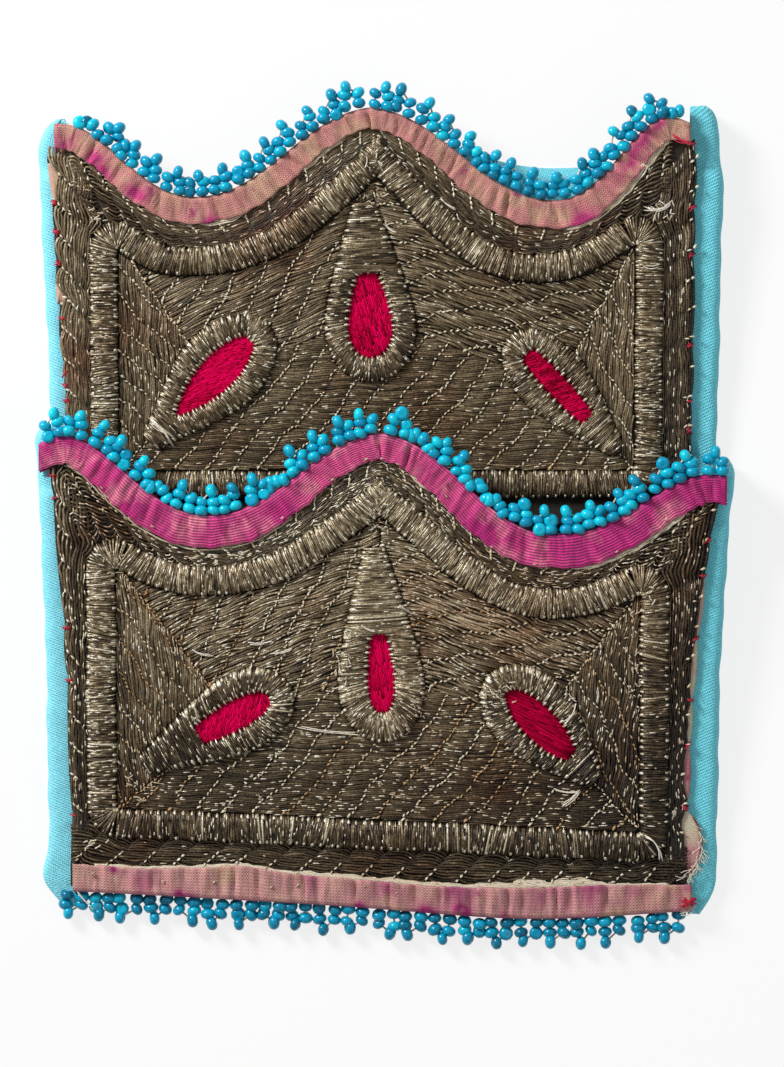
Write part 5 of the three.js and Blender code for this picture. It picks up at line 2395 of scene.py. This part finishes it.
@dataclass
class BeadEdging:
    """Loops of glass beads along one edge, and the thread that shows between them."""

    name: str
    palette: Palette
    path: FlatPath
    out: float
    spots: Array
    seat: Callable
    up: Array
    tone: float
    seed: int
    radius: float = 1.24
    length: float = 1.98
    column_gap: float = 2.3
    row: float = 1.66
    upright: float = 0.65
    first: float = 0.8
    leaning: float = 0.5
    lying: float = 0.08

    def __post_init__(self) -> None:
        """Starts the seeded scatter."""
        self.rng = np.random.default_rng(self.seed)

    def bead(self) -> tuple[Array, list[list[int]]]:
        """One bead modelled from a ball, its hole sunk in at both ends: points in millimetres, and faces."""
        bpy.ops.object.select_all(action="DESELECT")
        bpy.ops.mesh.primitive_uv_sphere_add(segments=10, ring_count=7, radius=self.radius)
        ball = bpy.context.active_object
        bpy.ops.object.mode_set(mode="EDIT")
        bpy.ops.mesh.select_all(action="SELECT")
        bpy.ops.transform.resize(value=(1, 1, self.length / 2 / self.radius))
        bpy.ops.object.mode_set(mode="OBJECT")
        points = np.array([vertex.co[:] for vertex in ball.data.vertices])
        flat_end = 0.86 * self.length / 2
        points[:, 2] = np.clip(points[:, 2], -flat_end, flat_end)
        points[np.hypot(points[:, 0], points[:, 1]) < 0.01, 2] *= 0.55
        faces = [list(face.vertices) for face in ball.data.polygons]
        bpy.data.objects.remove(ball)
        return points, faces

    def stand(self, share: float, height: float) -> Array:
        """Flat point above the edge.

        Args:
            share: share of the edge's length.
            height: height above the edge there.

        Returns:
            The point.
        """
        foot = self.path.at(np.array([share]))[0]
        square = self.path.beside(np.array([share]), self.out)[0] - foot
        lean = square / np.linalg.norm(square) * (1 - self.upright) + np.array([0.0, self.out]) * self.upright
        return foot + lean / np.linalg.norm(lean) * height

    def loop(self, share: float, hang: Hang) -> tuple[Array, Array]:
        """Beads of one loop along its thread.

        Args:
            share: place of the loop along the edge.
            hang: how it hangs.

        Returns:
            Flat centres of the beads, and how far each is lifted.
        """
        rng = self.rng
        shift = self.column_gap / 2 / self.path.length
        long = self.row * rng.uniform(0.96, 1.06)
        first = self.first + rng.uniform(-0.2, 0.25)
        if hang is Hang.FLAT:
            spread = [-1.5, -0.5, 0.5, 1.5]
            heights = [first, first + 0.5 * long, first + 0.4 * long, first]
            lifts = [0.5, 0.2, 0.2, 0.5]
        else:
            tip = (-1.0 if hang is Hang.LEFT else 1.0) * rng.uniform(0.2, 0.85)
            spread = [-1.0, -0.95, tip, 0.95, 1.0]
            heights = [first, first + long, first + rng.uniform(1.85, 2.0) * long, first + long, first]
            lifts = [0.6, 0.2, 0.3, 0.2, 0.6]
        flat = [self.stand(share + s * shift, h) for s, h in zip(spread, heights)]
        return np.array(flat), np.array(lifts)

    def build(self) -> None:
        """Makes the beads and their thread."""
        rng = self.rng
        points, faces = self.bead()
        work, thread = ThreadWork(), ThreadWork()
        for spot in self.spots:
            hang = Hang.LEFT if rng.random() < self.leaning else Hang.RIGHT
            hang = Hang.FLAT if rng.random() < self.lying else hang
            flat, lifts = self.loop(float(spot), hang)
            placed = self.seat(flat) + lifts[:, None] * self.up + rng.normal(0, 0.14, (len(flat), 3))
            way = np.gradient(placed, axis=0)
            way = way / np.linalg.norm(way, axis=1, keepdims=True) + rng.normal(0, 0.18, placed.shape)
            way[rng.random(len(way)) < 0.07] = self.up + rng.normal(0, 0.2, 3)
            # Beads past the end of the edge have no place or no direction there, and are left out.
            held = np.isfinite(placed + way).all(axis=1)
            for centre, axis, kept in zip(placed, way, held):
                turned = self.turned(points, axis)
                tones = np.full(len(points), self.tone + rng.normal(0, 0.16))
                if kept:
                    work.keep(turned + centre, faces, np.clip(tones, 0, 1))
            line = finer(placed) - 0.16 * self.up
            line = line[np.isfinite(line).all(axis=1)]
            tones = np.clip(rng.normal(0.6, 0.15, len(line)), 0, 1)
            thread.lay(line, self.up, 0.34, 0.32, tones)
        beads = work.piece(f"{self.name}_beads", self.palette.beads)
        show(beads, Slot.BEAD, f"{self.name}_bead_edging")
        show(thread.piece(f"{self.name}_bead_thread", self.palette.cream), Slot.COTTON)

    def turned(self, points: Array, axis: Array) -> Array:
        """Points of one bead in its own size, with its hole along an axis.

        Args:
            points: points of the plain bead.
            axis: direction of the hole.

        Returns:
            The turned points.
        """
        z = axis / np.linalg.norm(axis)
        side = np.cross(z, np.array([0.3, 0.2, 1.0]))
        side /= np.linalg.norm(side)
        return (points * self.rng.uniform(0.93, 1.07)) @ np.stack([side, np.cross(z, side), z])


@dataclass
class Sewing:
    """Sewing thread, frayed edges and broken threads that lie over the finished pouch."""

    palette: Palette
    seed: int = 5
    whip_width: float = 0.3
    loose_width: float = 0.2
    end_width: float = 0.24
    fibre_width: float = 0.12
    stitch_width: float = 0.34

    def __post_init__(self) -> None:
        """Starts the threads."""
        self.rng = np.random.default_rng(self.seed)
        self.red = ThreadWork()
        self.cream = ThreadWork()
        self.broken = ThreadWork()

    def strand(self, work: ThreadWork, line: Array, up: Array, width: float, tone: float) -> None:
        """Lays one loose strand through a few points, smoothed.

        Args:
            work: threads to add it to.
            line: the points, in millimetres.
            up: direction away from what it lies on.
            width: its width.
            tone: its middle tone.
        """
        fine = finer(line)
        fine[1:-1] = (fine[:-2] + 2 * fine[1:-1] + fine[2:]) / 4
        tones = np.clip(tone + self.rng.normal(0, 0.08, len(fine)), 0, 1)
        work.lay(fine, up, width, width * 0.8, tones)

    def whip(self, tier: Tier, side: Side) -> None:
        """Red stitches that hold one side of a panel to its gusset, a few strands at each place.

        Args:
            tier: the panel's tier.
            side: the side.
        """
        for v in tier.whips[side.value]:
            at = (float(tier.side_line(side, v)) - side.sign * 0.1, v)
            self.star(tier, at, 0.6, int(self.rng.integers(2, 5)), (0.95, -0.05), side.sign)

    def star(self, tier: Tier, at: Pair, size: float, strands: int, rises: Pair, out: float) -> None:
        """Crossing strands of red thread about one place.

        Args:
            tier: panel that they lie on.
            at: the place.
            size: half their length, about.
            strands: number of strands.
            rises: their height at the inner and at the outer end.
            out: direction along X in which they point out.
        """
        rng = self.rng
        for _ in range(strands):
            way = heading(rng.uniform(-1.1, 1.1)) * np.array([out, 1.0])
            long = size * rng.uniform(0.8, 1.5)
            t = np.array([-0.9, 0.0, 0.9])
            flat = np.array(at) + long * t[:, None] * way + rng.normal(0, 0.08, (3, 2))
            rise = np.array([rises[0], rises[0] + 0.12, rises[1]])
            self.strand(self.red, tier.place(flat, rise), tier.normal, self.whip_width, rng.uniform(0.3, 0.7))

    def hem_lining(self) -> None:
        """Cream lining that shows along the top of the bottom binding."""
        x = np.linspace(-51.0, 50.0, 110)
        knots = [-51, -46, -17, -13, 4, 16, 18.5, 24, 34, 37, 39, 50]
        wide = np.interp(x, knots, [0.2, 0.5, 0.5, 0.85, 0.85, 0.7, 1.0, 1.6, 1.6, 1.2, 0.4, 0.2])
        wide = wide * (1 + 0.3 * smooth_noise(x, 31, (3.7, 7.9)))
        y = HEM.height(x) + hem_width(x) + 0.35 * wide
        self.strip(LOWER, np.stack([x, y - LOWER.foot_y], axis=1), np.array([0.0, 1.0]), wide)

    def ribbon_stitches(self) -> None:
        """Small cream stitches that show on the lower mouth's ribbon and on the bottom one."""
        rng = self.rng
        edge = LOWER.edge.path()
        for share in (0.115, 0.19, 0.33, 0.41, 0.47, 0.505, 0.535, 0.62, 0.7, 0.745, 0.83, 0.9):
            spot = np.array([share])
            middle = edge.beside(spot, -LOWER.ribbon_at(spot) * rng.uniform(0.72, 0.95))[0]
            self.short_stitch(middle, edge.along(spot)[0], 1.85)
        for x in np.linspace(-49.0, 4.0, 7) + rng.normal(0, 1.6, 7):
            v = HEM.height(x) - LOWER.foot_y + hem_width(x) * rng.uniform(0.5, 0.9)
            self.short_stitch(np.array([x, v]), np.array([0.8, 0.6]), 1.8)

    def short_stitch(self, middle: Array, way: Array, rise: float) -> None:
        """One short stitch of cream thread on the lower pocket.

        Args:
            middle: its middle.
            way: its direction.
            rise: its height above the panel's underside.
        """
        flat = middle + np.array([[-0.26], [0.0], [0.26]]) * way
        line = LOWER.place(flat, rise + np.array([-0.1, 0.1, -0.1]))
        self.strand(self.cream, line, LOWER.normal, self.stitch_width, 0.3)

    def tuft(
        self,
        work: ThreadWork,
        tier: Tier,
        at: Pair,
        turn: float,
        long: float,
        bow: float,
        count: int,
        lift: float = 0.0,
    ) -> None:
        """Loose strands side by side over the embroidery.

        Args:
            work: threads to add them to.
            tier: panel that they lie on.
            at: their middle.
            turn: their direction, in degrees.
            long: their length.
            bow: how far they bend to the right of that direction.
            count: number of strands.
            lift: how far they lie above the embroidery.
        """
        rng = self.rng
        for _ in range(count):
            way = heading(math.radians(turn + rng.normal(0, 5)))
            t = np.linspace(-0.5, 0.5, 5)[:, None]
            flat = np.array(at) + rng.normal(0, 0.18, 2) + long * rng.uniform(0.7, 1.1) * t * way
            flat = flat + bow * rng.uniform(0.5, 1.2) * (1 - 4 * t**2) * -left_of(way)
            rise = self.surface(tier, flat) + lift + rng.uniform(0.05, 0.2)
            self.strand(work, tier.place(flat, rise), tier.normal, self.loose_width, rng.uniform(0.7, 1.0))

    def fray(self) -> None:
        """Fibres and a red edge on the loose ground cloth at the lower right corner."""
        rng = self.rng
        for _ in range(40):
            v = rng.triangular(6.4, 8.6, 18.0)
            flat = [np.array([float(LOWER.side_line(Side.RIGHT, v)) - rng.uniform(-0.1, 0.8), v])]
            turn = -1.3 + 0.12 * (v - 12.0) + rng.normal(0, 0.35)
            for _ in range(4):
                turn += rng.normal(0, 0.3)
                flat.append(flat[-1] + 0.5 * heading(turn))
            points = LOWER.place(np.array(flat), GAUGE.ground + rng.uniform(0.02, 0.3))
            self.strand(self.cream, points, LOWER.normal, self.fibre_width, rng.uniform(0.7, 1.0))
        v = np.linspace(7.6, 17.4, 16)
        rim = np.stack([LOWER.side_line(Side.RIGHT, v) - 0.05, v], axis=1)
        self.strand(self.red, LOWER.place(rim, GAUGE.ground - 0.1), LOWER.normal, 0.26, 0.2)

    def broken_strands(self) -> None:
        """Broken strands of the embroidery."""
        for tier, at, turn, long, bow, count in (
            (UPPER, (-39.0, 16.3), -44.0, 7.0, -0.5, 3),
            (UPPER, (-39.8, 17.2), -34.0, 4.6, 0.4, 2),
            (UPPER, (11.1, 56.4), -33.0, 3.2, 0.3, 2),
            (UPPER, (1.0, 52.2), -42.0, 2.5, 0.3, 2),
            (UPPER, (-3.6, 64.4), 100.0, 3.3, 0.5, 1),
            (UPPER, (47.6, 56.0), 10.0, 4.6, 0.9, 6),
            (UPPER, (46.6, 45.8), 5.0, 2.4, 0.3, 2),
            (LOWER, (32.5, 20.7), 45.0, 4.6, 0.3, 5),
            (LOWER, (31.4, 22.2), -6.0, 4.0, 0.3, 2),
            (LOWER, (32.3, 35.9), 55.0, 4.6, 0.4, 3),
            (LOWER, (32.8, 38.6), -40.0, 1.8, 0.2, 2),
            (LOWER, (37.1, 38.8), 90.0, 2.8, 0.2, 2),
            (LOWER, (-3.0, 51.0), -20.0, 2.6, 0.3, 2),
            (LOWER, (-9.7, 32.7), -9.0, 10.5, 0.5, 2),
            (LOWER, (4.0, 54.0), -37.0, 2.2, 0.2, 2),
            (LOWER, (-31.8, 46.4), -14.0, 3.8, 0.3, 2),
            (LOWER, (-22.0, 48.1), 2.0, 4.0, 0.3, 2),
            (LOWER, (-18.2, 46.8), 12.0, 4.4, 0.3, 2),
            (LOWER, (46.6, 12.3), -47.0, 5.4, -1.0, 4),
        ):
            self.tuft(self.broken, tier, at, turn, long, bow, count)

    def tangle(self, tier: Tier, at: Pair, spread: Pair, count: int) -> None:
        """Short pale ends of thread lying every way about one place.

        Args:
            tier: panel that they lie on.
            at: the place.
            spread: how far they lie from it, along x and v.
            count: number of ends.
        """
        rng = self.rng
        for _ in range(count):
            way = heading(rng.uniform(0, math.pi))
            t = np.linspace(-0.5, 0.5, 3)[:, None] * rng.uniform(0.5, 1.3)
            middle = np.array(at) + rng.uniform(-1, 1, 2) * spread
            flat = middle + t * way + rng.normal(0, 0.06, (3, 2))
            line = tier.place(flat, self.surface(tier, flat) + 0.05)
            self.strand(self.broken, line, tier.normal, self.end_width, rng.uniform(0.2, 0.8))

    def tangles(self) -> None:
        """Tangles of worn thread where the ridges meet and where the frame is rubbed."""
        for tier, at, spread, count in (
            (UPPER, (-1.5, 63.0), (1.2, 2.6), 14),
            (UPPER, (-50.2, 54.8), (1.6, 1.6), 10),
            (UPPER, (48.2, 54.8), (2.4, 1.8), 16),
            (UPPER, (-1.8, 57.4), (2.0, 1.6), 10),
            (LOWER, (-0.9, 70.6), (1.4, 3.2), 22),
            (LOWER, (-43.2, 22.6), (2.4, 2.4), 14),
            (LOWER, (-50.6, 12.8), (2.0, 0.9), 10),
            (LOWER, (-47.5, 62.0), (2.4, 2.0), 14),
            (LOWER, (-7.6, 44.0), (1.6, 6.0), 20),
            (LOWER, (6.4, 40.0), (1.6, 5.0), 10),
            (LOWER, (20.0, 40.0), (2.6, 3.0), 14),
            (LOWER, (43.4, 45.0), (1.4, 9.0), 18),
            (LOWER, (46.0, 56.6), (2.2, 1.8), 12),
        ):
            self.tangle(tier, at, spread, count)

    def strip(self, tier: Tier, line: Array, across: Array, wide: Array, lift: float = 0.12) -> None:
        """Lays a narrow strip of cream cloth as threads side by side.

        Args:
            tier: panel that it lies on.
            line: flat points along the strip's middle.
            across: unit directions across it.
            wide: width at each point.
            lift: how far it lies above the ground cloth.
        """
        rows = max(2, int(round(float(wide.max()) / 0.22)))
        for place in np.linspace(-0.5, 0.5, rows):
            slack = self.rng.normal(0, 0.06, len(line))
            flat = line + across * (place * wide + slack)[:, None]
            tones = np.clip(0.56 + 0.1 * self.rng.normal() + self.rng.normal(0, 0.08, len(line)), 0, 1)
            points = tier.place(flat, GAUGE.ground + lift - 0.1 * abs(place))
            self.cream.lay(points, tier.normal, self.stitch_width, 0.12, tones, taper=0.3)

    def lining(self, tier: Tier, start: float, end: float, wide: float) -> None:
        """Cream lining that peeps out under the lower edge of a mouth's binding.

        Args:
            tier: pocket of the mouth.
            start: share along the mouth where it begins.
            end: share where it ends.
            wide: its width.
        """
        edge = tier.edge.path()
        share = np.linspace(start, end, int((end - start) * edge.length / 1.1))
        taper = np.sin(np.pi * np.linspace(0.02, 0.98, len(share))) ** 0.4
        wander = 0.14 * smooth_noise(share * edge.length, tier.seed, (3.1, 7.7))
        out = -tier.ribbon_at(share) - wide * 0.25 * taper + wander
        self.strip(tier, edge.beside(share, out), left_of(edge.along(share)), wide * taper, 0.36)

    def surface(self, tier: Tier, flat: Array) -> Array:
        """Height of the embroidery.

        Args:
            tier: panel of the embroidery.
            flat: places on it.

        Returns:
            Height at each place.
        """
        x, v = flat.T
        rise = np.full(len(flat), 1.05)
        left, right = tier.ridge_sides
        for gap in (v - tier.crest.path().height(x), v - tier.rail_at(x), x - left, x - right):
            share = np.clip(1 - (gap / 2.2) ** 2, 0, 1)
            rise = np.maximum(rise, 1.05 + 1.5 * share**0.5)
        angles = np.linspace(0, 2 * np.pi, 48)
        for drop in tier.drops:
            band = inside(flat, drop.settle(drop.band_edge(angles)))
            rise = np.where(band, np.maximum(rise, 2.4), rise)
        return rise

    def build(self) -> None:
        """Makes the red stitches, the cream lining and the broken threads."""
        for tier in (UPPER, LOWER):
            for side in Side:
                self.whip(tier, side)
        for stretch in (
            (UPPER, 0.79, 0.97, 1.0),
            (UPPER, 0.22, 0.27, 0.7),
            (UPPER, 0.36, 0.44, 0.6),
            (LOWER, 0.04, 0.34, 0.5),
            (LOWER, 0.78, 0.93, 0.9),
            (LOWER, 0.56, 0.6, 0.6),
        ):
            self.lining(*stretch)
        self.hem_lining()
        self.ribbon_stitches()
        self.fray()
        self.broken_strands()
        self.tangles()
        self.tuft(self.red, UPPER, (51.8, 67.6), -24.0, 3.6, 0.3, 7, 0.85)
        self.tuft(self.cream, LOWER, (52.9, 0.9), 21.0, 3.2, 0.3, 3)
        self.tuft(self.cream, LOWER, (-52.9, 3.0), -49.0, 4.6, 0.4, 2)
        self.star(LOWER, (53.2, 2.4), 1.2, 9, (1.9, 1.7), 1.0)
        show(self.red.piece("red_whip_stitches", self.palette.red), Slot.LEAF)
        show(self.cream.piece("cream_lining_edges", self.palette.cream), Slot.COTTON)
        show(self.broken.piece("broken_threads", self.palette.cream), Slot.SATIN)


@dataclass
class Studio:
    """Floor, light and camera. The camera looks straight down, as the photograph does."""

    image: tuple[int, int] = (784, 1067)
    pixel: float = 0.175
    centre: Pair = (1.2, -3.5)
    distance: float = 0.9
    level: float = 6.0
    daylight: float = 0.31
    floor_glow: float = 0.8

    def build(self) -> None:
        """Makes everything that isn't the pouch."""
        self.floor()
        self.lights()
        self.camera()
        bpy.context.scene.view_settings.view_transform = "Standard"

    def floor(self) -> None:
        """Pale floor that stays white to the camera and keeps a soft shadow."""
        bpy.ops.object.select_all(action="DESELECT")
        bpy.ops.mesh.primitive_plane_add(size=6.0, location=(0, 0, -0.0001))
        floor = bpy.context.active_object
        floor.name = "floor"
        bpy.ops.object.transform_apply(location=True, rotation=True, scale=True)
        finish = Finish("white_floor")
        finish.set(Base_Color=(0.86, 0.86, 0.86, 1.0), Roughness=0.9)
        book = finish.book
        rays = book.add("LightPath").outputs
        seen = book.math("MAXIMUM", rays["Is Camera Ray"], rays["Is Glossy Ray"])
        seen = book.math("MAXIMUM", seen, rays["Is Transmission Ray"])
        glow = book.add("Emission", {"Color": (1.0, 1.0, 1.0, 1.0), "Strength": 1.0}).outputs[0]
        share = book.math("MULTIPLY", seen, self.floor_glow)
        mixed = book.add("MixShader", {0: share, 1: finish.shader.outputs[0], 2: glow}).outputs[0]
        book.feed(book.tree.nodes["Material Output"].inputs["Surface"], mixed)
        floor.data.materials.append(finish.material)

    def lights(self) -> None:
        """Soft daylight from above, with a larger lamp at the upper left."""
        world = bpy.data.worlds.new("soft_daylight")
        world.use_nodes = True
        sky = world.node_tree.nodes["Background"]
        sky.inputs["Color"].default_value = (1.0, 1.0, 1.0, 1.0)
        sky.inputs["Strength"].default_value = self.daylight
        bpy.context.scene.world = world
        for name, place, size, power in (
            ("key_lamp", (-0.5, 0.45, 0.42), 0.22, 7.8),
            ("fill_lamp", (0.5, -0.25, 0.6), 0.5, 0.9),
        ):
            data = bpy.data.lights.new(name, "AREA")
            data.size = size
            data.energy = power
            lamp = bpy.data.objects.new(name, data)
            lamp.location = place
            aim = -lamp.location.normalized()
            lamp.rotation_euler = aim.to_track_quat("-Z", "Y").to_euler()
            bpy.context.scene.collection.objects.link(lamp)

    def camera(self) -> None:
        """Long lens, straight down."""
        data = bpy.data.cameras.new("camera")
        data.sensor_fit = "AUTO"
        data.sensor_width = 36.0
        tall = self.image[1] * self.pixel * MM
        data.lens = data.sensor_width * self.distance / tall
        camera = bpy.data.objects.new("camera", data)
        camera.location = (self.centre[0] * MM, self.centre[1] * MM, self.level * MM + self.distance)
        bpy.context.scene.collection.objects.link(camera)
        bpy.context.scene.camera = camera


def edgings(palette: Palette) -> list[BeadEdging]:
    """The three bead edgings: along both mouths, and along the bottom.

    Args:
        palette: the finishes.

    Returns:
        The edgings, from the top down.
    """
    made = []
    for tier, count, ends, tone in ((UPPER, 28, (0.043, 0.997), 0.5), (LOWER, 30, (0.014, 0.983), 0.74)):
        rng = np.random.default_rng(tier.seed + 80)
        spots = np.linspace(*ends, count) + rng.normal(0, 0.0025, count)
        edge, seed = tier.edge.path(), tier.seed + 81
        seat = partial(tier.place, rise=GAUGE.ground / 2 + 0.2)
        made.append(BeadEdging(tier.name, palette, edge, 1.0, spots, seat, tier.normal, tone, seed))
    tips = np.linspace(-55.0, 50.2, 22) + np.random.default_rng(94).normal(0, 0.3, 22)
    hem = HEM.stretch(3.4, 0.0)
    spots = (tips - hem.points[0, 0]) / float(np.ptp(hem.points[:, 0]))
    up = np.array([0.0, 0.0, 1.0])
    level = 1.25

    def lie(flat: Array) -> Array:
        """Beads of the bottom edge lie on the floor."""
        return np.concatenate([flat, np.full((len(flat), 1), level)], axis=1)

    sizes = {"radius": 1.3, "length": 2.06, "column_gap": 2.7, "row": 1.74}
    hanging = {"upright": 0.9, "first": 0.75, "leaning": 0.75}
    made.append(BeadEdging("bottom", palette, hem, -1.0, spots, lie, up, 0.36, 95, **sizes, **hanging))
    return made


def main() -> None:
    """Builds the pouch piece by piece, then the studio."""
    logging.basicConfig(level=logging.INFO, format="%(name)s %(message)s")
    palette = Palette()
    Back(palette).build()
    for tier in (UPPER, LOWER):
        for side in Side:
            Gusset(tier, side, palette).build()
        GroundCloth(tier, palette).build()
        LaidWork(tier, palette).build()
        SatinWork(tier, palette).build()
        MouthBinding(tier, palette).build()
    HemBinding(palette).build()
    for edging in edgings(palette):
        edging.build()
    Sewing(palette).build()
    Studio().build()


if __name__ == "__main__":
    main()
